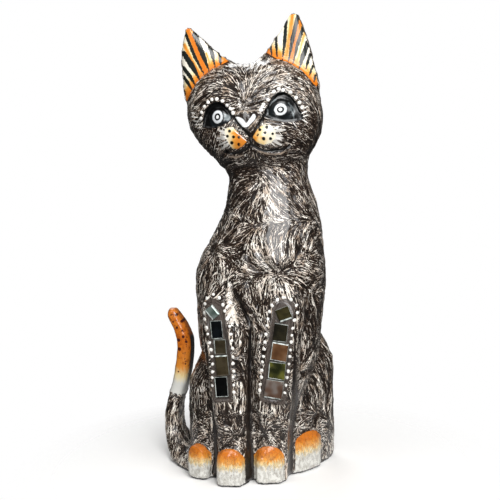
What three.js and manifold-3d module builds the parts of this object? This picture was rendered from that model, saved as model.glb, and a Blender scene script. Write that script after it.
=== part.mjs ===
// Sitting cat, carved in one piece from a block of light wood and painted, with small mirror tiles
// let into the fronts of its forelegs. Millimetres, +Z up. The cat looks along -Y, its left is +X.
// The origin is on the flat underside, below the groove between the forelegs.
import * as THREE from "three";
import { mergeVertices } from "three/addons/utils/BufferGeometryUtils.js";
import Module from "manifold-3d";

const wasm = await Module();
wasm.setup();

// The carving keeps its proportions: every length of the figure is drawn for a cat of
// DRAWN_HEIGHT and scaled to CAT_HEIGHT by the function mm.
const CAT_HEIGHT = 320;
const DRAWN_HEIGHT = 320;
const mm = (drawn) => (drawn * CAT_HEIGHT) / DRAWN_HEIGHT;

// Mirror tiles: cut squares and oblongs of silvered glass, glued in a shallow arched recess.
const TILE_THICKNESS = 2;
const TILE_PROUD = 0.8;
const TILE_SEAT_GAP = 0.3;
const TILE_SPACING = 0.9;
const RECESS_MARGIN = 1.6;
const RECESS_CROWN = 6;

// Colours seen on the figure.
const FUR = 0x2e2622;
const SILVER = 0x6f736c;

const DEGREE = Math.PI / 180;

// Rings and columns of each form's skin.
const MESH = {
  torso: [30, 32], foreleg: [14, 20], haunch: [11, 20], paw: [8, 16], tail: [22, 12],
  skull: [24, 40], ear: [9, 12], ball: [16, 10], mouth: [12, 2],
};

// A value drawn at several stations, joined by a smooth curve. Each station is [place, value].
function through(stations, place) {
  const last = stations.length - 1;
  let i = 0;
  while (i < last - 1 && place > stations[i + 1][0]) i += 1;
  const slope = (k) => {
    const low = stations[Math.max(k - 1, 0)];
    const high = stations[Math.min(k + 1, last)];
    return (high[1] - low[1]) / (high[0] - low[0]);
  };
  const [x0, y0] = stations[i];
  const [x1, y1] = stations[i + 1];
  const span = x1 - x0;
  const t = Math.min(Math.max((place - x0) / span, 0), 1);
  const rise = t * t * (3 - 2 * t);
  return (
    y0 * (1 - rise) + y1 * rise + t * (1 - t) * span * (slope(i) * (1 - t) - slope(i + 1) * t)
  );
}

// 0 below low, 1 above high and an even S between them.
const ramp = (low, high, x) => THREE.MathUtils.smoothstep(x, low, high);

// A point of the unit superellipse: 2 is a circle, higher powers are squarer.
function squircle(angle, power) {
  const c = Math.cos(angle);
  const s = Math.sin(angle);
  const reach = (Math.abs(c) ** power + Math.abs(s) ** power) ** (-1 / power);
  return [c * reach, s * reach];
}

// A closed skin through rings of points. at(along, round) gives a point for 0..1 along the rings
// and 0..1 round each; both ends are closed to their middles.
function skin(rings, columns, at) {
  const points = [];
  const faces = [];
  for (let i = 0; i <= rings; i += 1)
    for (let j = 0; j < columns; j += 1) points.push(at(i / rings, j / columns));
  const index = (i, j) => i * columns + (j % columns);
  for (let i = 0; i < rings; i += 1)
    for (let j = 0; j < columns; j += 1)
      faces.push(
        [index(i, j), index(i, j + 1), index(i + 1, j + 1)],
        [index(i, j), index(i + 1, j + 1), index(i + 1, j)],
      );
  for (const [ring, turned] of [[0, true], [rings, false]]) {
    const middle = [0, 1, 2].map(
      (axis) => points.slice(ring * columns, (ring + 1) * columns)
        .reduce((sum, p) => sum + p[axis], 0) / columns,
    );
    points.push(middle);
    for (let j = 0; j < columns; j += 1) {
      const edge = [index(ring, j), index(ring, j + 1)];
      faces.push(turned ? [edge[1], edge[0], points.length - 1] : [...edge, points.length - 1]);
    }
  }
  const geometry = new THREE.BufferGeometry();
  geometry.setAttribute("position", new THREE.Float32BufferAttribute(points.flat(), 3));
  geometry.setIndex(faces.flat());
  return geometry;
}

// Any closed geometry as a solid that can be joined and cut.
function solid(geometry, matrix = new THREE.Matrix4()) {
  const bare = new THREE.BufferGeometry();
  const source = geometry.index ? geometry.toNonIndexed() : geometry;
  bare.setAttribute("position", source.getAttribute("position").clone());
  bare.applyMatrix4(matrix);
  const merged = mergeVertices(bare, 1e-4);
  return new wasm.Manifold(
    new wasm.Mesh({
      numProp: 3,
      vertProperties: merged.attributes.position.array,
      triVerts: new Uint32Array(merged.index.array),
    }),
  );
}

// The joined solid as a named mesh.
function meshOf(manifold, name, material) {
  const { vertProperties, triVerts } = manifold.getMesh();
  const geometry = new THREE.BufferGeometry();
  geometry.setAttribute("position", new THREE.BufferAttribute(vertProperties, 3));
  geometry.setIndex(new THREE.BufferAttribute(triVerts, 1));
  geometry.computeVertexNormals();
  const mesh = new THREE.Mesh(geometry, material);
  mesh.name = name;
  return mesh;
}

// Head, in its own frame: x to the cat's left, z up, y back, origin at its middle.
const HEAD = { x: 0.5, y: -2, z: 253, tilt: 5.8, turn: 4 };
const SKULL = {
  half: 45.8, crown: 38, chin: 43, face: 36, nape: 32, faceSquareness: 2.7,
  saddle: 0.13, saddleSpread: 17 * DEGREE, chinShift: 6.3,
};
// The neck flares into the skull. Its top sections lie inside it: how far below its middle each
// is, and how much narrower than the skull.
const FLARE = [{ below: 31, inset: 13.6 }, { below: 19, inset: 6.3 }, { below: 7, inset: 2.8 }];

function flared({ below, inset }) {
  return { z: HEAD.z - below, half: SKULL.half - inset };
}

// Body and neck. Each row is a level section: height, middle across, half width, front, back and
// squareness. The neck leans to the cat's left before the head comes back over the feet.
const TORSO = [
  { z: 0, x: -3, half: 29, front: -30, back: 36, power: 2.6 },
  { z: 4, x: -3, half: 31, front: -32, back: 38, power: 2.6 },
  { z: 45, x: -2, half: 31, front: -33, back: 39, power: 2.6 },
  { z: 76, x: 0, half: 39, front: -34, back: 38, power: 2.7 },
  { z: 98, x: 0.4, half: 42.4, front: -33, back: 38, power: 2.7 },
  { z: 112, x: 1, half: 43.5, front: -34, back: 37, power: 2.7 },
  { z: 126, x: 2, half: 44.5, front: -37.5, back: 36, power: 2.6 },
  { z: 143, x: 2.6, half: 44.6, front: -39.8, back: 34, power: 2.6 },
  { z: 160, x: 5.8, half: 40.8, front: -38, back: 31, power: 2.5 },
  { z: 183, x: 10.4, half: 33.2, front: -34, back: 28, power: 2.4 },
  { z: 204, x: 9.6, half: 27.6, front: -28, back: 27, power: 2.3 },
  { z: 212, x: 8.4, half: 27.2, front: -27, back: 27, power: 2.3 },
  { ...flared(FLARE[0]), x: HEAD.x + 3.9, front: -26, back: 27, power: 2.3 },
  { ...flared(FLARE[1]), x: HEAD.x + 1.1, front: -22, back: 27, power: 2.3 },
  { ...flared(FLARE[2]), x: HEAD.x + 0.1, front: -16, back: 25, power: 2.3 },
];
// At its foot the front of the block is turned a little to the cat's left and the back is wider.
const TORSO_FOOT = { turn: 16 * DEGREE, spread: 13, low: 20, high: 104 };
const CHEST_RIDGE = { height: 3, half: 24, x: 12, low: 138, mid: 172, high: 206 };

function torso() {
  const [bottom, top] = [TORSO[0].z, TORSO[TORSO.length - 1].z];
  const column = (key) => TORSO.map((row) => [row.z, row[key]]);
  return skin(...MESH.torso, (along, round) => {
    const z = bottom + (top - bottom) * along;
    const [c, s] = squircle(round * 2 * Math.PI, through(column("power"), z));
    const half = through(column("half"), z);
    const [front, back] = [through(column("front"), z), through(column("back"), z)];
    const foot = 1 - ramp(TORSO_FOOT.low, TORSO_FOOT.high, z);
    const x = through(column("x"), z) + (half + TORSO_FOOT.spread * foot * Math.max(s, 0)) * c;
    const y = (front + back) / 2 + ((back - front) / 2) * s;
    const { height, half: spread, x: middle, low, mid, high } = CHEST_RIDGE;
    const rise = ramp(low, mid, z) * (1 - ramp(mid, high, z));
    const ridge = height * rise * Math.max(0, 1 - Math.abs(x - middle) / spread) * Math.max(0, -s);
    const turn = TORSO_FOOT.turn * foot * (0.5 - 0.5 * s);
    return [
      mm(x * Math.cos(turn) - y * Math.sin(turn)),
      mm(x * Math.sin(turn) + (y - ridge) * Math.cos(turn)),
      mm(z),
    ];
  });
}

// A foreleg: a flat-fronted pillar that sinks into the chest at its top. x is how far its middle
// stands from the middle of the body at each height.
const FORELEG = [
  { z: 0, x: 12.4, half: 10.4, front: -42 },
  { z: 30, x: 13.2, half: 11.8, front: -42.5 },
  { z: 60, x: 15, half: 14.2, front: -43.3 },
  { z: 95, x: 16.8, half: 16.2, front: -43 },
  { z: 116, x: 18, half: 17.6, front: -41.6 },
  { z: 130, x: 18.4, half: 17, front: -39.5 },
  { z: 142, x: 18, half: 14.5, front: -36.5 },
  { z: 156, x: 17, half: 10, front: -30 },
];
const FORELEG_SPINE = -22;
const FORELEG_SQUARENESS = 3.8;
// How far the foot of the left foreleg stands back, and the height where that is made up.
const FORELEG_SETBACK = { foot: 9, level: 85 };

// side is -1 for the cat's right and 1 for its left.
function foreleg(side) {
  const top = FORELEG[FORELEG.length - 1].z;
  const column = (rows, key) => rows.map((row) => [row.z, row[key]]);
  return skin(...MESH.foreleg, (along, round) => {
    const z = top * along;
    const [c, s] = squircle(round * 2 * Math.PI, FORELEG_SQUARENESS - 1.6 * ramp(110, 150, z));
    const middle = ramp(80, 140, z) * through(column(TORSO, "x"), z);
    const x = middle + side * through(column(FORELEG, "x"), z) + through(column(FORELEG, "half"), z) * c;
    const setback = side > 0 ? FORELEG_SETBACK.foot * (1 - ramp(0, FORELEG_SETBACK.level, z)) : 0;
    const front = through(column(FORELEG, "front"), z) + setback;
    const y = FORELEG_SPINE + (FORELEG_SPINE - front) * s;
    return [mm(x), mm(y), mm(z)];
  });
}

// The cut that parts the right foreleg from the chest, a V in section, from its top to where the
// forelegs meet.
const CREASE = { from: [-15.5, -38.6, 140], to: [0.5, -35.8, 113], width: 5.4 };

function crease() {
  const [from, to] = [CREASE.from, CREASE.to].map((p) => new THREE.Vector3(...p.map(mm)));
  const along = to.clone().sub(from);
  const width = mm(CREASE.width) / Math.SQRT2;
  const rod = new THREE.BoxGeometry(width, along.length(), width).rotateY(45 * DEGREE);
  const turn = new THREE.Quaternion()
    .setFromUnitVectors(new THREE.Vector3(0, 1, 0), along.clone().normalize());
  return rod.applyQuaternion(turn).translate(...from.add(to).multiplyScalar(0.5));
}

// Thighs folded against the flanks, upright outside and sloped off at their tops: middle of the
// section, half sizes across and along it, how far its face is turned to the front, and the
// heights of the brow and the top, and the slope between them.
const HAUNCHES = [
  { side: -1, x: 25.6, y: 2, across: 26, along: 32, turn: 8, brow: 64, top: 94, slope: 0.5 },
  { side: 1, x: 25.2, y: 9, across: 15.4, along: 35.5, turn: 30, brow: 76, top: 98, slope: 0.6 },
];

function haunch({ side, x, y, across, along: length, turn, brow, top, slope }) {
  const [ahead, aside] = [Math.sin(turn * DEGREE), Math.cos(turn * DEGREE)];
  return skin(...MESH.haunch, (along, round) => {
    const z = along < 0.1 ? 30 * along : 3 + ((top - 3) * (along - 0.1)) / 0.9;
    const over = (Math.sqrt((z - brow) ** 2 + 9) + z - brow) / 2;
    const foot = 1 - 0.035 * (1 - ramp(0, 5, z));
    const [c, s] = squircle(side * round * 2 * Math.PI, 2.6);
    const u = across * foot * c - slope * over * (0.5 + 0.5 * c);
    const v = (length * foot - 0.6 * slope * over) * s;
    return [mm(side * (x + u * aside + v * ahead)), mm(y - u * ahead + v * aside), mm(z)];
  });
}

// Four paws: blunt blocks with arched tops, set round the front of the base. Middle, half sizes
// across and deep, height, and how far each is turned to the cat's left.
const PAWS = [
  { x: -15, y: -34.5, half: 9.6, deep: 12.5, height: 26, turn: 2 },
  { x: 9.4, y: -25.5, half: 9.9, deep: 13.2, height: 26.5, turn: 13 },
  { x: -36.2, y: -22.5, half: 8.4, deep: 12.8, height: 24, turn: -24 },
  { x: 24.2, y: 2.6, half: 14.6, deep: 15.2, height: 28, turn: 51 },
];
const PAW_EDGE = 1.2;
const PAW_SQUARENESS = 5;

function paw({ x, y, half, deep, height, turn }) {
  const [ahead, aside] = [Math.sin(turn * DEGREE), Math.cos(turn * DEGREE)];
  return skin(...MESH.paw, (along, round) => {
    const z = height * (1 - (1 - along) ** 1.8);
    const dome = Math.max(1 - (z / height) ** 7, 0) ** 0.5;
    const foot = 1 - (PAW_EDGE / half) * (1 - ramp(0, PAW_EDGE * 1.6, z));
    const [c, s] = squircle(round * 2 * Math.PI, PAW_SQUARENESS);
    const u = half * foot * (0.12 + 0.88 * dome) * c;
    const v = deep * foot * (0.86 + 0.14 * dome) * s;
    return [mm(x + u * aside - v * ahead), mm(y + u * ahead + v * aside), mm(z)];
  });
}

// Tail: a slab sawn in the plane of the front view, deeper than it is wide, that leaves the foot
// of the right flank and stands free of it up to the blunt tip. Its root comes forward to the paw.
const TAIL_LINE = [
  [-36, 0], [-50, 0], [-60.8, 5.5], [-67.2, 16], [-69, 27], [-68, 37], [-65.6, 47], [-62.6, 57],
  [-60.4, 67], [-58.8, 77], [-58.2, 87], [-60.2, 96.5], [-64.2, 104.5], [-68.2, 112],
];
const TAIL = {
  width: 10.8, root: 17, tip: 8.2, front: 9, back: 31, tipBack: 21, rootReach: 36,
  rootShare: 0.34, tipShare: 0.034,
};

function tail() {
  const line = new THREE.CatmullRomCurve3(
    TAIL_LINE.map(([x, z]) => new THREE.Vector3(x, 0, z)), false, "centripetal",
  );
  return skin(...MESH.tail, (step, round) => {
    const along = 1 - (1 - step) ** 1.6;
    const centre = line.getPointAt(along);
    const ahead = line.getTangentAt(along);
    const past = Math.max((along - 1 + TAIL.tipShare) / TAIL.tipShare, 0);
    const rounding = Math.sqrt(Math.max(1 - past ** 2, 0.04));
    const slim = THREE.MathUtils.lerp(TAIL.width, TAIL.tip, ramp(0.8, 1, along));
    const width = THREE.MathUtils.lerp(TAIL.root, slim, ramp(0.08, 0.42, along));
    const front = TAIL.front - TAIL.rootReach * (1 - ramp(0, TAIL.rootShare, along));
    const back = THREE.MathUtils.lerp(TAIL.back, TAIL.tipBack, ramp(0.6, 1, along));
    const [c, s] = squircle(round * 2 * Math.PI, 4.5);
    const across = (width / 2) * rounding * c;
    return [
      mm(centre.x + ahead.z * across),
      mm((front + back) / 2 + ((back - front) / 2) * rounding * s),
      mm(centre.z - ahead.x * across),
    ];
  });
}

// The face is a shallow dome; eyes, nose, muzzle and mouth are carved in it.
const EYE = {
  x: 21.8, z: 0.3, half: 12.2, tall: 10, depth: 4.4, ball: 8.4, ballDepth: 4.2, sunk: 4.6, turn: 17,
};
const NOSE = { half: 10.5, bridgeHalf: 6.5, bridge: 7, side: -1.5, tip: -15, height: 3.4 };
const MUZZLE = { x: 10.6, z: -16, half: 11.8, tall: 8.6, thick: 6, height: 2.8 };
const MOUTH = { reach: 24, corner: -20, low: -25, radius: 1.3 };

// Outline of the skull seen from the front: reach from its middle at an angle. It dips between
// the ears.
function skullReach(angle) {
  const [c, s] = [Math.abs(Math.cos(angle)), Math.abs(Math.sin(angle))];
  const up = Math.sin(angle) > 0;
  const power = up ? 2.2 : 1.88;
  const tall = up ? SKULL.crown : SKULL.chin;
  const off = Math.atan2(Math.sin(angle - Math.PI / 2), Math.cos(angle - Math.PI / 2));
  const dip = 1 - SKULL.saddle * Math.exp(-((off / SKULL.saddleSpread) ** 2));
  return dip * ((c / SKULL.half) ** power + (s / tall) ** power) ** (-1 / power);
}

// The dome of the face at x, z, as a depth in front of the head's middle plane.
function faceDepth(x, z) {
  const share = Math.min(Math.hypot(x, z) / skullReach(Math.atan2(z, x)), 1);
  return SKULL.face * (1 - share ** SKULL.faceSquareness) ** (1 / SKULL.faceSquareness);
}

const headMatrix = new THREE.Matrix4()
  .makeTranslation(mm(HEAD.x), mm(HEAD.y), mm(HEAD.z))
  .multiply(new THREE.Matrix4().makeRotationZ(HEAD.turn * DEGREE))
  .multiply(new THREE.Matrix4().makeRotationY(-HEAD.tilt * DEGREE));

function skull() {
  const frontShare = 0.7;
  return skin(...MESH.skull, (along, round) => {
    const angle = -round * 2 * Math.PI;
    const front = along <= frontShare;
    const share = front ? along / frontShare : (1 - along) / (1 - frontShare);
    const spread = Math.max(front ? share ** 0.8 : Math.sin((share * Math.PI) / 2), 0.004);
    const reach = skullReach(angle) * spread;
    const [x, z] = [reach * Math.cos(angle), reach * Math.sin(angle)];
    const y = front ? -faceDepth(x, z) : SKULL.nape * Math.sqrt(Math.max(1 - spread ** 2, 0));
    const chin = SKULL.chinShift * (Math.max(-z, 0) / SKULL.chin);
    return [mm(x + chin), mm(y), mm(z)];
  });
}

// A ball squeezed to three half sizes, set in the face at x, z and turned to lie on its dome.
function ball(halves, x, z, sunk, turn = 0) {
  const [columns, rings] = MESH.ball;
  const matrix = headMatrix.clone()
    .multiply(new THREE.Matrix4().makeTranslation(mm(x), mm(sunk - faceDepth(x, z)), mm(z)))
    .multiply(new THREE.Matrix4().makeRotationZ(turn * DEGREE));
  return solid(new THREE.SphereGeometry(1, columns, rings).scale(...halves.map(mm)), matrix);
}

// The nose: a shield-shaped block that stands out at its tip and runs into the brow.
function nose() {
  const { half, bridgeHalf, bridge, side, tip, height } = NOSE;
  const outline = new THREE.Shape([
    [-bridgeHalf, bridge], [-half, side], [0, tip], [half, side], [bridgeHalf, bridge],
  ].map(([x, z]) => new THREE.Vector2(mm(x), mm(z - bridge))));
  const depth = mm(20);
  const block = new THREE.ExtrudeGeometry(outline, { depth, bevelEnabled: false });
  const slope = Math.atan2(height, bridge - tip);
  block.translate(0, 0, -depth).rotateX(Math.PI / 2 - slope);
  return block.translate(0, mm(-faceDepth(0, bridge)), mm(bridge));
}

// One half of the smiling mouth: a rod laid on the face, to be cut out of it.
function mouthRod(side) {
  const [steps, curveSegments] = MESH.mouth;
  const points = [];
  for (let i = 0; i <= steps; i += 1) {
    const x = side * ((MOUTH.reach * (i - 0.5)) / steps);
    const sag = 1 - ((2 * i) / steps - 1) ** 2;
    const z = MOUTH.corner + (MOUTH.low - MOUTH.corner) * sag;
    points.push(new THREE.Vector3(mm(x), mm(-faceDepth(x, z)), mm(z)));
  }
  const line = new THREE.CatmullRomCurve3(points);
  const round = new THREE.Shape().absarc(0, 0, mm(MOUTH.radius), 0, 2 * Math.PI);
  return new THREE.ExtrudeGeometry(round, { extrudePath: line, steps, curveSegments });
}

// An ear: a wedge with a flat front, narrowing to its tip. Edges run from inside the skull and are
// shares of its half width and of its height above its middle.
const EAR_INNER = {
  right: [[0, 0.579], [0.109, 0.855], [0.297, 1.016], [0.513, 1.253], [0.786, 1.632]],
  left: [[0, 0.579], [0.109, 0.855], [0.273, 1.039], [0.459, 1.289], [0.688, 1.645]],
};
const EAR_OUTER = {
  right: [[0.917, 0], [0.991, 0.368], [0.991, 0.737], [0.961, 1.211], [0.852, 1.645]],
  left: [[0.917, 0], [1.004, 0.368], [0.965, 0.737], [0.915, 1.158], [0.817, 1.645]],
};
const EAR = { front: -14, tipFront: -9, thick: 19, tipThick: 5.5 };

function ear(side) {
  const edge = (list) => new THREE.CatmullRomCurve3(
    list.map(([x, z]) => new THREE.Vector3(x * SKULL.half, 0, z * SKULL.crown)),
  );
  const name = side < 0 ? "right" : "left";
  const [inner, outer] = [edge(EAR_INNER[name]), edge(EAR_OUTER[name])];
  return skin(...MESH.ear, (along, round) => {
    const [from, to] = [inner.getPoint(along), outer.getPoint(along)];
    const [c, s] = squircle(side * round * 2 * Math.PI, 3);
    const share = (1 + c) / 2;
    const thick = THREE.MathUtils.lerp(EAR.thick, EAR.tipThick, along);
    const front = THREE.MathUtils.lerp(EAR.front, EAR.tipFront, along);
    return [
      mm(side * (from.x + (to.x - from.x) * share)),
      mm(front + (thick / 2) * (1 + s)),
      mm(from.z + (to.z - from.z) * share),
    ];
  });
}

// Mirror panels, one on each foreleg: where its foot is, how it leans, and its tiles from the
// bottom up, each [width, length, turn in degrees, shift across].
const PANELS = [
  {
    side: "right", x: -19.2, foot: 62, lean: -4,
    tiles: [
      [8.6, 13.8, 0, 0.4], [8.9, 13.8, 1, 2.2], [7.9, 9.8, -1, 2], [7.8, 12, 0, 0.6], [6.2, 8.4, 34, -1.2],
    ],
  },
  {
    side: "left", x: 15.8, foot: 62, lean: 8,
    tiles: [
      [12, 12.4, 0, 0], [11.2, 11.4, 2, 0.4], [11.2, 12.2, -1, 0.4], [9.2, 12, 1, -0.6], [9.4, 8.6, 30, 0.2],
    ],
  },
];
const PANEL_FRONT = -42.6;
const PANEL_SLOPE = 1.2;

// Length that a tile takes up along its panel once it is turned.
const tileReach = ([width, length, turn]) =>
  length * Math.cos(turn * DEGREE) + width * Math.abs(Math.sin(turn * DEGREE));

const panelLength = ({ tiles }) =>
  tiles.reduce((sum, tile) => sum + tileReach(tile) + TILE_SPACING, TILE_SPACING);

// A panel's own frame: x across, y up its length, z out of the leg; origin at its foot.
function panelMatrix({ x, foot, lean }) {
  return new THREE.Matrix4()
    .makeTranslation(mm(x), mm(PANEL_FRONT), mm(foot))
    .multiply(new THREE.Matrix4().makeRotationX(90 * DEGREE - PANEL_SLOPE * DEGREE))
    .multiply(new THREE.Matrix4().makeRotationZ(-lean * DEGREE));
}

// The arched pocket that a row of tiles is glued in.
function recess(panel) {
  const halfAt = (i) => panel.tiles[i][0] / 2 + RECESS_MARGIN;
  const shiftAt = (i) => panel.tiles[i][3];
  const length = panelLength(panel) + RECESS_MARGIN;
  const waist = length * 0.42;
  const [foot, middle, head] = [halfAt(0), halfAt(1), halfAt(3)];
  const top = shiftAt(4);
  const outline = new THREE.Shape();
  outline.moveTo(-foot, -RECESS_MARGIN);
  outline.lineTo(foot, -RECESS_MARGIN);
  outline.lineTo(middle + shiftAt(1), waist);
  outline.lineTo(head + shiftAt(3), length - RECESS_CROWN);
  outline.quadraticCurveTo(head + top, length, top, length);
  outline.quadraticCurveTo(top - head, length, shiftAt(3) - head, length - RECESS_CROWN);
  outline.lineTo(shiftAt(1) - middle, waist);
  outline.closePath();
  const depth = TILE_THICKNESS + TILE_SEAT_GAP - TILE_PROUD;
  const clear = 8;
  const geometry = new THREE.ExtrudeGeometry(outline, {
    depth: depth + clear, bevelEnabled: false, curveSegments: 6,
  });
  return geometry.translate(0, 0, -depth);
}

// The tiles of one panel as separate meshes, set in its recess.
function tileMeshes(panel, material) {
  let reach = TILE_SPACING;
  return panel.tiles.map((tile, i) => {
    const [width, length, turn, shift] = tile;
    const mesh = new THREE.Mesh(new THREE.BoxGeometry(width, length, TILE_THICKNESS), material);
    mesh.name = `mirror_tile_${panel.side}_${i + 1}`;
    const place = new THREE.Matrix4()
      .makeTranslation(shift, reach + tileReach(tile) / 2, TILE_PROUD - TILE_THICKNESS / 2)
      .multiply(new THREE.Matrix4().makeRotationZ(turn * DEGREE));
    panelMatrix(panel).multiply(place).decompose(mesh.position, mesh.quaternion, mesh.scale);
    reach += tileReach(tile) + TILE_SPACING;
    return mesh;
  });
}

function head() {
  let made = solid(skull(), headMatrix).add(solid(nose(), headMatrix));
  for (const side of [-1, 1]) {
    const { x, z, half, tall, depth, ball: round, ballDepth, sunk, turn } = EYE;
    const pad = MUZZLE.thick - MUZZLE.height;
    made = made.add(solid(ear(side), headMatrix))
      .add(ball([MUZZLE.half, MUZZLE.thick, MUZZLE.tall], side * MUZZLE.x, MUZZLE.z, pad))
      .subtract(ball([half, depth, tall], side * x, z, 0, side * turn))
      .add(ball([round, ballDepth, round], side * x, z, sunk, side * turn));
  }
  for (const side of [-1, 1]) made = made.subtract(solid(mouthRod(side), headMatrix));
  return made;
}

function carvedCat() {
  let cat = solid(torso()).add(solid(tail()));
  for (const side of [-1, 1]) cat = cat.add(solid(foreleg(side)));
  for (const thigh of HAUNCHES) cat = cat.add(solid(haunch(thigh)));
  for (const foot of PAWS) cat = cat.add(solid(paw(foot)));
  cat = cat.subtract(solid(crease()));
  cat = cat.add(head());
  for (const panel of PANELS) cat = cat.subtract(solid(recess(panel), panelMatrix(panel)));
  const span = 2 * CAT_HEIGHT;
  const ground = new THREE.BoxGeometry(span, span, span).translate(0, 0, -span / 2);
  return cat.subtract(solid(ground));
}

const furMaterial = new THREE.MeshStandardMaterial({ color: FUR, roughness: 0.4, metalness: 0 });
const mirrorMaterial = new THREE.MeshStandardMaterial({ color: SILVER, roughness: 0.08, metalness: 1 });

const group = new THREE.Group();
group.add(meshOf(carvedCat(), "carved_cat", furMaterial));
for (const panel of PANELS) group.add(...tileMeshes(panel, mirrorMaterial));

export default group;
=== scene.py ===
# %% [markdown]
# # A painted wooden cat, worked out from numbers
#
# The real figure is a folk carving: a sitting cat cut from one block of light tropical wood, with
# fur nicked in by a small gouge, brown-black paint brushed over it, and cream strokes dragged over
# that. Two rows of cut mirror are glued into its forelegs, thick white paint is dropped round the
# rows and the eyes, and clear varnish covers the lot. This lesson makes the carving first, then
# the paint drops, the mirrors, the light and the camera.

# %% Start: tools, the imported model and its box
import math

import bmesh
import bpy
import numpy as np
from mathutils import Matrix
from mathutils import Vector
from mathutils.bvhtree import BVHTree


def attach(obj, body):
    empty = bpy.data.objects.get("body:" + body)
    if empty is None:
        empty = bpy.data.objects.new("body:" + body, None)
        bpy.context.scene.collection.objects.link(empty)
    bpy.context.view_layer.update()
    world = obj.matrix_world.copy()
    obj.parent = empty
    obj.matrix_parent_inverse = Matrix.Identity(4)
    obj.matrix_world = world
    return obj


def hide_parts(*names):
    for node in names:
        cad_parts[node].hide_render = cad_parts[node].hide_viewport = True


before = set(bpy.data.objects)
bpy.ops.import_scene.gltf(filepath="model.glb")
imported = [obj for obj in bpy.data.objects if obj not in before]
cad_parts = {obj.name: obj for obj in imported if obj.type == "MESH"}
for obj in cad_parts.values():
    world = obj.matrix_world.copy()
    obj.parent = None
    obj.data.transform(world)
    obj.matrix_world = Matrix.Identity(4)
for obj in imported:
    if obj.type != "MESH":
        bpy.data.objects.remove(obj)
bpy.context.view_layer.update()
MM = 0.001
DEGREE = math.pi / 180
FULL_TURN = 2 * math.pi
SIDES = (-1, 1)

# %% [markdown]
# ## Curves to carve with
#
# A carver works from a few templates held against the block. Here a template is a short list of
# stations, such as the half width at some heights, and a smooth curve runs through them. Every
# helper takes whole arrays, so a surface with thousands of points is one call.


# %% Smooth steps and curves through stations
def ramp(low, high, x):
    """0 below low, 1 above high; between them 3t^2 - 2t^3, with t the share of the way."""
    t = np.clip((x - low) / (high - low), 0, 1)
    return t * t * (3 - 2 * t)


def through(stations, place):
    """Value of a cubic curve through (place, value) stations.

    The slope at a station is that of the line between its two neighbours.
    """
    at, value = np.array(stations, float).T
    last = len(at) - 1
    before = np.maximum(np.arange(last + 1) - 1, 0)
    after = np.minimum(np.arange(last + 1) + 1, last)
    slope = (value[after] - value[before]) / (at[after] - at[before])
    i = np.clip(np.searchsorted(at, place, side="left") - 1, 0, last - 1)
    span = at[i + 1] - at[i]
    t = np.clip((place - at[i]) / span, 0, 1)
    rise = t * t * (3 - 2 * t)
    bend = t * (1 - t) * span * (slope[i] * (1 - t) - slope[i + 1] * t)
    return value[i] * (1 - rise) + value[i + 1] * rise + bend


def curve_at(points, share):
    """Points of a centripetal Catmull-Rom curve at shares 0..1, equal steps per control point.

    Between two points the curve is a cubic whose end slopes are weighted by the square roots of
    the distances to the neighbours; past the ends the first and last steps are mirrored.
    """
    p = np.array(points, float)
    p = np.vstack([2 * p[0] - p[1], p, 2 * p[-1] - p[-2]])
    where = np.clip(np.asarray(share, float), 0, 1) * (len(points) - 1)
    i = np.minimum(where.astype(int), len(points) - 2)
    t = (where - i)[..., None]
    a, b, c, d = p[i], p[i + 1], p[i + 2], p[i + 3]
    ab, bc, cd = [np.sqrt(np.linalg.norm(q, axis=-1, keepdims=True)) for q in (b - a, c - b, d - c)]
    leave = ((b - a) / ab - (c - a) / (ab + bc) + (c - b) / bc) * bc
    arrive = ((c - b) / bc - (d - b) / (bc + cd) + (d - c) / cd) * bc
    square = 3 * (c - b) - 2 * leave - arrive
    cube = 2 * (b - c) + leave + arrive
    return b + leave * t + square * t**2 + cube * t**3


def squircle(angle, power):
    """A point of |x|^power + |y|^power = 1 in the direction of angle: 2 is round, 5 nearly square."""
    c, s = np.cos(angle), np.sin(angle)
    reach = (np.abs(c) ** power + np.abs(s) ** power) ** (-1 / power)
    return c * reach, s * reach


print("half way up a step:", ramp(0, 1, 0.5), "| on a curve:", through([[0, 0], [1, 2], [2, 2]], 1.5))

# %% [markdown]
# ## A closed skin
#
# Each rough form of the block, such as the trunk or a paw, is a tube of rings closed at both ends.
# A function gives the point for two shares: how far along the rings, and how far round. Rings and
# columns are spaced about 1.5 mm apart, a little wider than the final mesh, because all the forms
# are melted into one skin afterwards.


# %% Rings to vertices and faces
SKIN_SIZE = {
    # rings and columns of each rough form
    "trunk": (150, 180), "foreleg": (100, 80), "haunch": (70, 100), "paw": (36, 64), "tail": (130, 60),
    "skull": (130, 180), "ear": (50, 64),
}


def bands(steps, columns):
    """Quads between each ring of points and the next, ring after ring, for so many steps."""
    i, j = np.meshgrid(np.arange(steps), np.arange(columns), indexing="ij")
    k = (j + 1) % columns
    low, high = i * columns, (i + 1) * columns
    return np.stack([low + j, low + k, high + k, high + j], -1).reshape(-1, 4).tolist()


def skin(form, at):
    """Vertices and faces of a closed tube. at(along, round) gives x, y, z for arrays of shares."""
    rings, columns = SKIN_SIZE[form]
    along = np.linspace(0, 1, rings + 1)[:, None]
    around = (np.arange(columns) / columns)[None, :]
    grid = np.stack(np.broadcast_arrays(*at(along, around)), axis=-1)
    middles = grid[[0, -1]].mean(axis=1)
    points = np.vstack([grid.reshape(-1, 3), middles])
    first = np.arange(columns)
    second = (first + 1) % columns
    foot = (rings + 1) * columns
    top = rings * columns
    caps = [np.stack([second, first, np.full(columns, foot)], -1)]
    caps.append(np.stack([top + first, top + second, np.full(columns, foot + 1)], -1))
    return points, bands(rings, columns) + np.vstack(caps).tolist()


def joined(parts):
    """Several (points, faces) as one, each part's face numbers raised by the points before it."""
    points, faces, count = [], [], 0
    for part_points, part_faces in parts:
        points.append(part_points)
        faces += [[v + count for v in face] for face in part_faces]
        count += len(part_points)
    return np.vstack(points), faces


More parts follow.
